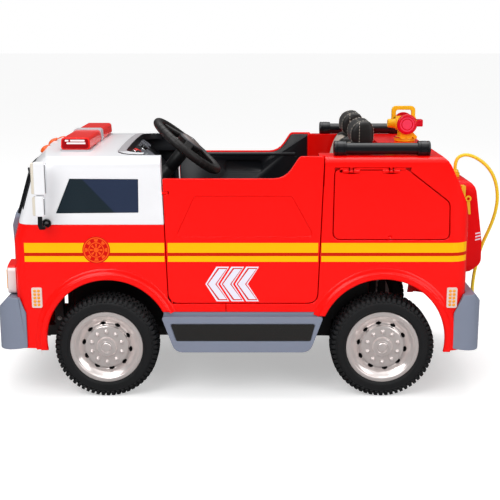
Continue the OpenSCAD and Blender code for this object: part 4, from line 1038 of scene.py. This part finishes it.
cowl_grey = finish("cowl_grey", (0.42, 0.40, 0.42), 0.36, mottle=0.06, size=500, depth=0.15)
panel_grey = finish("panel_grey", (0.14, 0.145, 0.17), 0.34, mottle=0.08, size=700, depth=0.2)
dial_white = finish("dial_white", (0.85, 0.86, 0.86), 0.3, mottle=0.03)
chrome = finish("chrome", (0.85, 0.85, 0.86), 0.12, mottle=0.05, size=60, depth=0.05, Metallic=1)
SIDE_TOP, CROWN = 665, 10
dash = moulded("dash", "dashboard", 2.5, 3)
finished(dash, black_plastic, "root", "black_plastic", "dashboard")
cowl = moulded("cowl", "instrument_cowl", 2, 3)
for vertex in cowl.data.vertices:
    # the finished ring lies almost flush in the crowned roof
    roof = SIDE_TOP + CROWN * (1 - (vertex.co.y / MM / SIDE) ** 2)
    vertex.co.z = min(vertex.co.z, (roof + 2.6) * MM)
cover(cowl, cowl_grey, white_plastic, liner_plastic)
for face in cowl.data.polygons:
    place = face.center / MM
    if face.normal.z < 0.3 and place.z < 676:
        face.material_index = 2
    elif place.x < 312 and abs(place.y) > 215:
        face.material_index = 1
fitted(cowl, "root", "grey_plastic", "instrument_cowl")

# A hooded pod carries the instruments right behind the cowl. What is on it is built
# flat, facing +Z, and then laid on the pod's sloping face.
POD_FRONT, POD_REAR = Vector((333, 0, 664)), Vector((262, 0, 616))
POD_TILT = math.atan2(POD_FRONT.z - POD_REAR.z, POD_FRONT.x - POD_REAR.x)
trim = {"pod": [], "panel": [], "bezel": [], "white": [], "red": [], "black": []}


def on_pod(kind, piece, y, along):
    """Puts a piece built round the origin on the pod's face, along from its rear edge to its front."""
    spot = POD_REAR.lerp(POD_FRONT, along)
    piece.rotation_euler = (0, -POD_TILT, 0)
    trim[kind].append(moved(piece, spot.x, y, spot.z))


depth = (POD_FRONT - POD_REAR).length
pod_plan = [(depth, -238), (depth, 238), (0.62 * depth, 236), (0.18 * depth, 196), (0, 120), (0, -40),
            (0.2 * depth, -130), (0.62 * depth, -226)]
on_pod("pod", soften(plate("pod", rounded(pod_plan, 14), "Z", -16, -0.6), 3, 3), 0, 0)
on_pod("panel", soften(plate("cluster", rectangle(8, -104, depth - 5, 92, 12), "Z", -2, 1.2), 1.2), 0, 0)
for y in (104, 172):
    on_pod("bezel", turned("bezel", [(24, -1), (28.5, -1), (29.5, 3), (28.4, 5), (25, 4.2), (24, -1)],
                           sides=40), y, 0.56)
    on_pod("black", turned("dial", [(0, 3), (25, 3), (25, 1), (0, 1)], sides=32), y, 0.56)
    for tick in range(9):
        mark = plate("mark", rectangle(16.5, -0.6, 21.5, 0.6, 0.3, 1), "Z", 2.9, 3.3)
        mark.rotation_euler.z = math.radians(-120 + 30 * tick)
        on_pod("white", settle(mark), y, 0.56)
    needle = plate("needle", [(-4, -1.2), (17, -0.4), (17, 0.4), (-4, 1.2)], "Z", 3.4, 4)
    needle.rotation_euler.z = math.radians(-75)
    on_pod("red", settle(needle), y, 0.56)
    for number, angle in ((0, -120), (2, -60), (4, 0), (6, 60), (8, 120)):
        pick_none()
        bpy.ops.object.text_add()
        text = bpy.context.object
        text.data.body = str(number)
        text.data.size = 5 * MM
        text.data.extrude = 0.15 * MM
        text.data.align_x, text.data.align_y = "CENTER", "CENTER"
        bpy.ops.object.convert(target="MESH")
        digit = bpy.context.object
        turn = math.radians(angle)
        digit.location = (12.6 * math.cos(turn) * MM, 12.6 * math.sin(turn) * MM, 3.2 * MM)
        digit.rotation_euler.z = math.radians(-90)
        on_pod("white", settle(digit), y, 0.56)
on_pod("red", turned("start", [(0, 9.5), (10, 9), (12.6, 7), (13, 1), (0, 1)], sides=32), 48, 0.62)
on_pod("bezel", turned("start_ring", [(13.4, 1), (16, 1), (16, 2.6), (14.6, 3.4), (13.4, 2.6), (13.4, 1)],
                       sides=32), 48, 0.62)
for k, y in enumerate((16, -8, -32)):
    rocker = soften(plate("rocker", [(-10, 0), (10, 0), (10, 4), (0, 7.4), (-10, 6)], "Y", -8, 8), 0.8)
    on_pod("black", rocker, y, 0.7)
    on_pod("white", turned("lamp", [(0, 2.2), (2.4, 1.8), (2.6, 0.8), (0, 0.8)], sides=16), y, 0.34)
for y in (-68, 74):
    on_pod("bezel", turned("knob_ring", [(11, 0.8), (14, 0.8), (14, 2), (12.4, 3), (11, 2), (11, 0.8)],
                           sides=32), y, 0.55)
    on_pod("black", turned("knob", [(0, 12), (8.6, 11.6), (10, 9), (10.8, 1), (0, 1)], sides=10), y, 0.55)
for y in (-190, -135):
    on_pod("panel", turned("vent", [(18, -1), (22, -1), (23, 2), (21, 3.4), (18.4, 2.6), (18, -1)], sides=36),
           y, 0.66)
    for k in range(-2, 3):
        reach = math.sqrt(18 ** 2 - (7 * k) ** 2)
        slat = plate("slat", rectangle(k * 7 - 1.4, -reach, k * 7 + 1.4, reach, 1, 1), "Z", -0.4, 1.8)
        on_pod("panel", slat, y, 0.66)
# the radio panel, on the dashboard's own rear face
trim["panel"].append(soften(plate("console", rectangle(-52, 498, 52, 566, 8), "X", 240, 247.4), 1.2))
for k in range(6):
    key = rectangle(-40 + 16 * k, 512, -28 + 16 * k, 520, 1.6, 2)
    trim["black"].append(soften(plate("key", key, "X", 237.6, 241), 0.5))
trim["black"].append(soften(plate("window", rectangle(-38, 528, 38, 556, 3), "X", 239, 241), 0.5))
for key, material in (("pod", black_plastic), ("panel", panel_grey), ("bezel", chrome), ("white", dial_white),
                      ("red", red_plastic), ("black", black_gloss)):
    finished(joined("dash_" + key, trim[key]), material, "root", "black_plastic")

# ---- steering wheel and column ----
# A moulded three-spoke wheel with a grained rim and a blank brown-gray pad, on a black
# column that leans out of the dashboard.

HUB = Vector((155, 138, 675))
TILT = math.radians(39.3)


def on_column(piece):
    """Puts a piece built round the origin, axis up, on the steering column."""
    piece.rotation_euler = (0, -TILT, 0)
    return moved(piece, *HUB)


wheel_black = finish("wheel_black", (0.013, 0.012, 0.012), 0.34, mottle=0.15, size=1500, depth=0.5,
                     Specular_IOR_Level=0.35)
pad_brown = finish("pad_brown", (0.15, 0.12, 0.115), 0.36, mottle=0.12, size=1100, depth=0.3)
rim_section = []
for k in range(20):
    angle = math.tau * k / 20
    rim_section.append((104 + 11.9 * math.cos(angle), 12.1 * math.sin(angle)))
steer_rim = turned("steer_rim", rim_section + [rim_section[0]], sides=88)
grips = []
for k in range(40):
    angle = math.tau * k / 40
    if abs(math.sin(angle)) > 0.5:
        grips.append(turned("notch", [(12.05, -0.7), (12.5, -0.4), (12.5, 0.4), (12.05, 0.7)],
                            (104 * math.cos(angle), 104 * math.sin(angle), 0),
                            (-math.sin(angle), math.cos(angle), 0), 24))
spokes = []
for angle in (90, 210, 330):
    spoke = plate("spoke", [(20, 4), (34, 10), (60, 3), (98, -4), (98, 5), (62, 11), (36, 17), (20, 17)], "Y",
                  -12, 12)
    soften(spoke, 3, 3)
    spoke.rotation_euler.z = math.radians(angle)
    spokes.append(settle(spoke))
boss = turned("boss", [(0, -50), (13, -50), (13, -16), (24, -12), (33, -2), (37, 10), (38, 15), (36, 18),
                       (0, 18)], sides=56)
steer_body = on_column(joined("steering_wheel_body", [steer_rim, boss] + spokes + grips))
finished(steer_body, wheel_black, "steering_wheel", "black_plastic", "steering_wheel")
pad = on_column(turned("horn_pad", [(0, 26), (14, 25.6), (24, 24), (30, 20.6), (33, 16), (0, 16)], sides=56))
ring = on_column(turned("pad_ring",
                        [(33.4, 17), (33.4, 19), (34.6, 19.6), (36, 18.8), (36.4, 17), (33.4, 17)], sides=56))
badge = on_column(turned("blank_badge", [(0, 27), (8, 26.9), (9.4, 26.2), (9.4, 24.5), (0, 24.5)], sides=36))
cover(pad, pad_brown)
cover(ring, dark_grey)
cover(badge, chrome)
fitted(joined("steering_pad", [badge, ring, pad]), "steering_wheel", "black_plastic")
column = turned("column", [(0, -215), (18.5, -215), (18.5, -84), (17.4, -82), (17.4, -76), (18.5, -74),
                           (18.5, -30), (17.6, -25.4), (13.3, -25), (13.3, -52), (0, -52)], sides=48)
finished(on_column(column), black_plastic, "root", "black_plastic", "steering_column")

# ---- seats ----
# Two small foam seats in artificial leather: a beige punched front, black bolsters and a
# black headrest with pale stitching. Each pad's swell comes from a cloth simulation.

LEATHER = skin_group("leather", "cells")
seat_black = finish("seat_black", (0.011, 0.010, 0.0095), 0.42, mottle=0.2, size=420, depth=0.35,
                    group=LEATHER, Sheen_Weight=0.04, Specular_IOR_Level=0.35)
seat_beige = finish("seat_beige", (0.50, 0.43, 0.35), 0.55, mottle=0.1, size=420, depth=0.35, group=LEATHER,
                    Sheen_Weight=0.2)
thread = finish("thread", (0.62, 0.56, 0.48), 0.7, mottle=0.1, size=2500, depth=0.6)
SEAT_LOW, SEAT_HIGH = box_of("seat_back_left")
SEAT_Y = (SEAT_LOW.y + SEAT_HIGH.y) / 2
PAD_CELL = 6
SWELL_FRAMES = 20
STITCH = 4
LONGEST_STITCH = 9


def pad_body(name, outline, y0, y1, puff):
    """A foam pad: an outline across Y, remeshed and puffed up by a short cloth simulation."""
    pad = plate(name, rounded(outline, 12, 5), "Y", y0, y1)
    soften(pad, 7, 3)
    with_modifier(pad, "REMESH", mode="VOXEL", voxel_size=PAD_CELL * MM, adaptivity=0)
    start = [vertex.co.copy() for vertex in pad.data.vertices]
    pick(pad)
    swell = pad.modifiers.new("swell", "CLOTH")
    swell.settings.quality = 4
    swell.settings.effector_weights.gravity = 0
    swell.settings.use_pressure = True
    swell.settings.uniform_pressure_force = 4
    swell.settings.tension_stiffness = swell.settings.compression_stiffness = 12
    swell.point_cache.frame_start, swell.point_cache.frame_end = 1, SWELL_FRAMES
    for moment in range(1, SWELL_FRAMES + 1):
        scene.frame_set(moment)
    bpy.ops.object.modifier_apply(modifier=swell.name)
    scene.frame_set(1)
    for vertex, old in zip(pad.data.vertices, start):
        move = vertex.co - old
        if move.length > puff * MM:
            vertex.co = old + move.normalized() * puff * MM
    with_modifier(pad, "SUBSURF", levels=1)
    return smooth(pad, 80)


def stitch(points):
    """One stitch of thread between points in millimetres."""
    curve = bpy.data.curves.new("stitch", "CURVE")
    curve.dimensions = "3D"
    track = curve.splines.new("POLY")
    track.points.add(len(points) - 1)
    for point, place in zip(track.points, points):
        point.co = (*[v * MM for v in place], 1)
    curve.bevel_depth = 0.8 * MM
    curve.bevel_resolution = 2
    cord = bpy.data.objects.new("stitch", curve)
    scene.collection.objects.link(cord)
    pick(cord)
    bpy.ops.object.convert(target="MESH")
    return bpy.context.object


def laid_seam(start, end, axis, target):
    """A seam laid along an axis onto a pad, broken into stitches with gaps of the same length."""
    sheet = bpy.data.meshes.new("seam")
    start, end = Vector(start), Vector(end)
    count = round((end - start).length / STITCH)
    steps = [start.lerp(end, k / count) for k in range(count)] + [end]
    sheet.from_pydata([p * MM for p in steps], [(i, i + 1) for i in range(count)], [])
    line = bpy.data.objects.new("seam", sheet)
    scene.collection.objects.link(line)
    with_modifier(line, "SHRINKWRAP", target=target, wrap_method="PROJECT", use_negative_direction=True,
                  use_positive_direction=True, offset=0.1 * MM, **{"use_project_" + axis: True})
    spots = [vertex.co / MM for vertex in line.data.vertices]
    bpy.data.objects.remove(line)
    # a stitch that stayed in place or reaches too far has missed the pad
    return [stitch(spots[i:i + 2]) for i in range(0, len(spots) - 1, 2)
            if (spots[i] - spots[i + 1]).length < LONGEST_STITCH and (spots[i] - steps[i]).length > 1]


back_core = [(-347, 371), (-230, 371), (-251, 500), (-277, 620), (-295, 684), (-336, 684), (-354, 640),
             (-350, 480)]
head_core = [(-306, 684), (-296, 698), (-296, 724), (-308, 742), (-330, 750), (-350, 747), (-358, 728),
             (-358, 690), (-344, 678)]
base_core = [(-343, 318), (-100, 318), (-92, 334), (-96, 360), (-150, 365), (-343, 363)]
CENTRE = 70
back_pad = pad_body("back_pad", back_core, SEAT_LOW.y + 6, SEAT_HIGH.y - 6, 5)
head_pad = pad_body("head_pad", head_core, SEAT_Y - 64, SEAT_Y + 64, 5)
middle_core = [(-290, 384), (-229, 384), (-249, 500), (-274, 620), (-292, 682), (-320, 682), (-330, 480)]
back_middle = pad_body("back_middle", middle_core, SEAT_Y - CENTRE, SEAT_Y + CENTRE, 6)
base_pad = pad_body("base_pad", base_core, SEAT_LOW.y + 6, SEAT_HIGH.y - 6, 5)
base_middle_core = [(-330, 330), (-118, 330), (-102, 346), (-112, 362), (-160, 367.5), (-330, 366)]
base_middle = pad_body("base_middle", base_middle_core, SEAT_Y - CENTRE, SEAT_Y + CENTRE, 4)
stitches = []
for y in (SEAT_Y - 52, SEAT_Y + 52):
    stitches += laid_seam((-400, y, 694), (-400, y, 742), "x", head_pad)
    stitches += laid_seam((-240, y, 694), (-240, y, 742), "x", head_pad)
    stitches += laid_seam((-346, y, 900), (-292, y, 900), "z", head_pad)
stitches += laid_seam((-318, SEAT_Y - 62, 900), (-318, SEAT_Y + 62, 900), "z", head_pad)
for y in (SEAT_Y - 200, SEAT_Y + 200):
    stitches += laid_seam((-318, y, 684), (-318, y, 744), "y", head_pad)
for y in (SEAT_Y - CENTRE - 8, SEAT_Y + CENTRE + 8):
    stitches += laid_seam((-100, y, 392), (-100, y, 640), "x", back_pad)
stitch_shape = joined("stitch_shape", stitches)
cover(stitch_shape, thread)
for pad in (back_pad, head_pad, base_pad):
    cover(pad, seat_black)
for pad in (back_middle, base_middle):
    cover(pad, seat_beige)
back_shape = joined("back_shape", [back_middle, head_pad, back_pad])
base_shape = joined("base_shape", [base_middle, base_pad])
for side, mirrored in (("left", False), ("right", True)):
    for shape, kind in ((back_shape, "seat_back"), (base_shape, "seat_base")):
        cushion = copied(shape, f"{kind}_cover_{side}", mirrored=mirrored)
        fitted(cushion, "root", "seat_cover", f"{kind}_{side}")
    fitted(copied(stitch_shape, "seat_stitching_" + side, mirrored=mirrored), "root", "seat_cover")
for shape in (back_shape, base_shape, stitch_shape):
    bpy.data.objects.remove(shape)

# ---- deck rails ----
# Two gloss black plastic tubes along the rear deck, each pushed into ribbed end
# collars that stand on small screwed feet.

RAIL_Z, RAIL_Y = 684, 278
rail_low, rail_high = box_of("deck_rails")
REAR_END, FRONT_END = rail_low.x, rail_high.x
half_length = (FRONT_END - REAR_END) / 2
collar = [(0, 0), (18.4, 0), (20.4, 1.6), (20.8, 3.4), (20.8, 7), (19.6, 7.6), (19.6, 9), (20.8, 9.6),
          (20.8, 25), (19.8, 25.8), (19.8, 27.4), (20.6, 28), (20.6, 31.4), (19.4, 33), (15.6, 33.4),
          (15.6, half_length + 0.1)]
half_rail = turned("half_rail", collar, (REAR_END, RAIL_Y, RAIL_Z), (1, 0, 0), 56)
other_half = turned("other_half", collar, (FRONT_END, RAIL_Y, RAIL_Z), (-1, 0, 0), 56)
feet = []
for x in (REAR_END + 17, FRONT_END - 17):
    feet.append(soften(plate("foot", rectangle(x - 11, RAIL_Y - 9, x + 11, RAIL_Y + 9, 5), "Z",
                             rail_low.z + 0.4, 676), 1))
rails = both_sides(joined("deck_rails_gloss", [half_rail, other_half] + feet))
finished(rails, black_gloss, "root", "black_gloss", "deck_rails")

# ---- light bar ----
# A low bar of two red lenses on a pale base with a pale double band over its middle.
# Each end has a darker red panel, painted shade, with two rows of bright strips in it that are painted
# highlights.

bar_silver = finish("bar_silver", (0.55, 0.54, 0.57), 0.32, mottle=0.05, size=400, depth=0.1)
bar_red = finish("bar_red", (0.90, 0.014, 0.008), 0.2, mottle=0.03, size=200, depth=0.02,
                 Specular_IOR_Level=0.15)
# the end panel's darker red is painted shade on the bar's end face
bar_end_painted_shade = finish("bar_end_painted_shade", (0.36, 0.001, 0.004), 0.1, mottle=0.1, size=160, depth=0.05, Coat_Weight=0.4)
# the bright strips on each end are painted highlights
end_painted_highlight = finish("end_painted_highlight", (0.95, 0.86, 0.86), 0.2, mottle=0.02)
bar_low, bar_high = box_of("light_bar_lens")
base_low, base_high = box_of("light_bar_base")
BAR_X = (bar_low.x + bar_high.x) / 2


def bar_outline(grow, low, top):
    """The bar's outline in side view, widened by grow, from low to top."""
    half = (bar_high.x - bar_low.x) / 2 + grow
    corners = [(BAR_X - half, low), (BAR_X + half, low), (BAR_X + half - 2.4, top), (BAR_X - half + 2.4, top)]
    return rounded(corners, 8.5, 5)


FOOT_Z = base_low.z + 4
base = rectangle(bar_low.x - 2, base_low.y + 1, bar_high.x + 2, base_high.y - 1, 9)
base = soften(plate("bar_base", base, "Z", base_low.z, FOOT_Z), 0.8)
ridges = [soften(plate("ridge", bar_outline(2.4, FOOT_Z, base_high.z), "Y", *span), 1.6)
          for span in ((-24, -8), (-2, 14))]
band = joined("bar_base_silver", ridges + [base])
finished(band, bar_silver, "root", "grey_plastic", "light_bar_base")
line = plate("bar_line", bar_outline(0.9, FOOT_Z, base_high.z - 1.4), "Y", -8.5, -1.5)
finished(line, black_plastic, "root", "black_plastic")
lens = plate("bar_lens", bar_outline(0, FOOT_Z - 0.4, bar_high.z), "Y", bar_low.y + 0.5, bar_high.y - 0.5)
lens = soften(lens, 3, 3)
cover(lens, bar_red)
END_Y = bar_high.y - 1.4
window = rounded([(bar_low.x + 4, FOOT_Z + 3), (bar_high.x - 4, FOOT_Z + 3), (bar_high.x - 6, bar_high.z - 3),
                  (bar_low.x + 6, bar_high.z - 3)], 6)
window = soften(plate("end_painted_shade", window, "Y", END_Y, bar_high.y - 0.1), 0.5)
cover(window, bar_end_painted_shade)
# strips of painted highlight, set into the end's panel of painted shade
highlight_strips = []
for z, a, b in ((bar_high.z - 8, -26, 14), (bar_high.z - 8, 18, 28), (bar_high.z - 15, -28, 24)):
    strip = rectangle(BAR_X + a, z - 2.4, BAR_X + b, z + 2.4, 2, 2)
    highlight_strips.append(plate("strip", strip, "Y", END_Y + 0.5, bar_high.y))
    cover(highlight_strips[-1], end_painted_highlight)
ends = both_sides(joined("end", highlight_strips + [window]))
fitted(joined("bar_lenses", [ends, lens]), "root", "red_plastic", "light_bar_lens")

# ---- mirrors ----
# White two-part mirror housings with a cream front edge and a plain mirrored rear face,
# carried by a bent black arm on a round pivot.

cream_plastic = finish("cream_plastic", (0.72, 0.66, 0.56), 0.3, mottle=0.04)
mirror_glass = finish("mirror_glass", (0.8, 0.82, 0.84), 0.05, mottle=0.02, depth=0.02, Metallic=1)
m_low, m_high = box_of("mirrors")
HOUSE_Y0, HOUSE_Y1 = m_high.y - 22, m_high.y - 0.3
house_parts, cream_parts, glass_parts = [], [], []
for z0, z1, x0, x1 in ((574.6, m_high.z, m_low.x, m_high.x), (518, 571.6, m_low.x + 5, m_high.x - 1)):
    house = plate("house", rectangle(x0 + 3, z0, x1 - 7, z1, 4), "Y", HOUSE_Y0, HOUSE_Y1)
    cream = plate("cream", rectangle(x1 - 9, z0 + 2, x1, z1 - 2, 4), "Y", HOUSE_Y0 + 2, HOUSE_Y1 - 1.2)
    glass = rectangle(HOUSE_Y0 + 3, z0 + 4, HOUSE_Y1 - 3, z1 - 4, 3)
    house_parts.append(soften(house, 3.4, 4))
    cream_parts.append(soften(cream, 2.6, 3))
    glass_parts.append(soften(plate("glass", glass, "X", x0 + 1.2, x0 + 4), 0.5))
ARM_Y = (358, 366)
house_parts.append(soften(plate("neck", rectangle(518, 570, 534, 577, 1), "Y", *ARM_Y), 0.5))
for pieces, material in ((house_parts, white_plastic), (cream_parts, cream_plastic),
                         (glass_parts, mirror_glass)):
    for piece in pieces:
        cover(piece, material)
houses = both_sides(joined("mirror_houses", cream_parts + glass_parts + house_parts))
fitted(houses, "root", "white_plastic", "mirrors")
arm = rounded([(521, 481.5), (530, 481.5), (534, 492), (533, 519), (522, 519), (521, 494)], 2.4)
arm = [soften(plate("arm", arm, "Y", *ARM_Y), 1.6, 3),
       soften(plate("arm_out", rectangle(515, 481, 530, 490.5, 3), "Y", SIDE - 1, 362), 1.6, 3),
       turned("pivot", [(5.5, 0), (11.4, 0), (12, 1.4), (12, 6), (10.8, 7.4), (7, 7.4), (5.5, 6), (5.5, 0)],
              (519, SIDE + 0.2, 491), (0, 1, 0), 36)]
arms = both_sides(joined("mirror_arms", arm))
finished(arms, black_gloss, "root", "black_plastic")

# ---- water monitor ----
# A toy water cannon of yellow plastic: a turning base, a yoke, and a barrel with a
# carrying handle between two red side knobs. It only tilts and turns.

monitor_yellow = finish("monitor_yellow", (0.96, 0.50, 0.008), 0.26, mottle=0.05, size=300, depth=0.05,
                        Specular_IOR_Level=0.3)
knob_red = finish("knob_red", (0.70, 0.004, 0.02), 0.18, mottle=0.04, size=200, depth=0.03,
                  Specular_IOR_Level=0.3)
# the knobs' pink flat faces are a painted highlight on red plastic
knob_painted_highlight = finish("knob_painted_highlight", (0.92, 0.05, 0.12), 0.22, mottle=0.05, size=200, depth=0.05, Coat_Weight=0.3)
MONITOR_X, MONITOR_Z = REAR_X - 89, 726
finished(moulded("monitor_ring", "monitor_base", 1.6), monitor_yellow, "root", "yellow_plastic",
         "monitor_base")
yoke = moulded("yoke", "monitor_turret", 1.8)
brace = [(MONITOR_X - 8, 700), (MONITOR_X - 14, 708), (MONITOR_X - 32, 690), (MONITOR_X - 31, 683.4),
         (MONITOR_X - 24, 683.4)]
braces = [soften(plate("brace", brace, "Y", y - 4.4, y + 4.4), 1.4) for y in (-26, 26)]
yoke = joined("monitor_yoke", braces + [yoke])
cover(yoke, monitor_yellow)
collar_ring = [(26.8, 683.4), (31, 683.4), (31.6, 685), (31, 687), (26.8, 688), (26.8, 683.4)]
collar_ring = turned("collar_ring", collar_ring, (MONITOR_X, 0, 0), sides=48)
cover(collar_ring, knob_red)
yoke = joined("monitor_yoke", [collar_ring, yoke])
fitted(yoke, "monitor_turret", "yellow_plastic", "monitor_turret")
barrel = moulded("barrel", "monitor_nozzle", 1.8)
cover(barrel, monitor_yellow, knob_red)
for face in barrel.data.polygons:
    place = face.center / MM
    if abs(place.y) > 32.6 or place.x < MONITOR_X - 31.5:
        face.material_index = 1
knob = turned("knob", [(0, 42.3), (14, 42.3), (14.6, 43), (16.4, 43), (17, 42.3), (20.6, 42.3), (21, 43.4),
                       (25, 43.4), (27, 42.2), (27.6, 41), (0, 41)], (MONITOR_X, 0, MONITOR_Z), (0, 1, 0), 64)
cover(knob, knob_painted_highlight, knob_red)
# raised rings and the outer edge stay red; the flat faces between them carry the painted highlight
for face in knob.data.polygons:
    r = math.hypot(face.center.x / MM - MONITOR_X, face.center.z / MM - MONITOR_Z)
    if r > 20.8 or 14 < r < 17:
        face.material_index = 1
barrel_rings = [turned("barrel_ring", [(19, a), (19.9, a + 0.6), (19.9, a + 3), (19, a + 3.6)],
                       (MONITOR_X, 0, MONITOR_Z), (1, 0, 0), 48) for a in (-24, 20)]
barrel_rings = joined("barrel_rings", barrel_rings)
cover(barrel_rings, monitor_yellow)
knobs = both_sides(joined("monitor_knobs", [knob]))
barrel = joined("monitor_barrel", [knobs, barrel_rings, barrel])
fitted(barrel, "monitor_nozzle", "yellow_plastic", "monitor_nozzle")

# ---- water tank, fittings and rear bumper clip ----
# A red blow moulded tank hung on the tail, with a blank dark panel let into its back,
# a yellow filler cap, two yellow side catches, a drain tap and the nozzle's clip.

tank_red = finish("tank_red", (0.80, 0.002, 0.004), 0.24, mottle=0.04, size=240, depth=0.03,
                  Specular_IOR_Level=0.12)
panel_dark = finish("panel_dark", (0.03, 0.004, 0.004), 0.3, mottle=0.1)
tank = moulded("tank", "water_tank", 2.5, 3)
finished(tank, tank_red, "root", "red_plastic", "water_tank")


def film(name, corners, axis, onto, gap, cells, thickness, material, offset=1):
    """A thin film laid along an axis onto a piece."""
    piece = laid(name, corners, axis, onto, gap, cells)
    with_modifier(piece, "SOLIDIFY", thickness=thickness * MM, offset=offset)
    cover(piece, material)
    return piece


def behind(low_half, low, high_half, high):
    """Four corners behind the tank: half widths and heights of the lower and upper edge."""
    return [(-900, -low_half, low), (-900, low_half, low), (-900, high_half, high), (-900, -high_half, high)]


back_rim = soften(film("tank_panel", behind(74, 348, 70, 516), "x", tank, 0.1, (30, 40), 1.6, tank_red), 0.7)
back_dark = film("tank_dark", behind(58, 440, 56, 500), "x", back_rim, 0.1, (24, 20), 0.5, panel_dark)
films = [film("tank_stripe", behind(60, z, 60, z + 4.4), "x", back_rim, 0.1, (24, 3), 0.4, white_film)
         for z in (418, 409, 400)]
for side in (-1, 1):
    y = side * 200
    for z in (420, 411, 402):
        stripe = [(-684, y, z + 1), (-668, y, z - 3), (-668, y, z + 1), (-684, y, z + 5)]
        films.append(film("side_stripe", stripe, "y", tank, 0.25, (8, 3), 0.3, white_film, side))
    slot = [(-638, y, 538), (-630, y, 538), (-629, y, 558), (-637, y, 558)]
    films.append(film("side_slot", slot, "y", tank, 0.1, (6, 12), 0.5, panel_dark, 0))
fitted(joined("tank_trim", films + [back_dark, back_rim]), "root", "red_plastic")

fittings = moulded("fittings", "tank_fittings", 0.6)
CAP_X = -624
cap_rib = plate("cap_rib", [(11.6, -1), (11.6, 1), (13.6, 0.7), (13.6, -0.7)], "Z", 570.6, 581)
cap_ribs = moved(ring_of(cap_rib, 18, (0, 0, 1)), CAP_X, 0, 0)
cap_lip = turned("cap_lip", [(5.2, 589), (9, 589), (10.4, 587), (10.4, 583), (9, 582), (5.2, 582),
                             (5.2, 589)], (CAP_X, 0, 0), sides=40)
catches = []
catch_arm = rounded([(-652, 476), (-645, 476), (-639, 512), (-648, 512)], 2)
for y in (-108, 108):
    catches.append(turned("catch_eye",
                          [(4.4, -2.4), (8.6, -2.4), (9.2, 0), (8.6, 2.4), (4.4, 2.4), (4.4, -2.4)],
                          (-643, y, 521), (0, 1, 0), 28))
    catches.append(soften(plate("catch_arm", catch_arm, "Y", y - 2, y + 2), 0.8))
tap = turned("tap", [(0, 283.4), (6.4, 283.4), (9, 285), (9, 296), (7, 297.4), (0, 297.6)], (-662, 0, 0),
             (0, 0, 1), 28)
fittings = joined("tank_fittings_yellow", [cap_ribs, cap_lip, tap] + catches + [fittings])
finished(fittings, yellow_plastic, "root", "yellow_plastic", "tank_fittings")
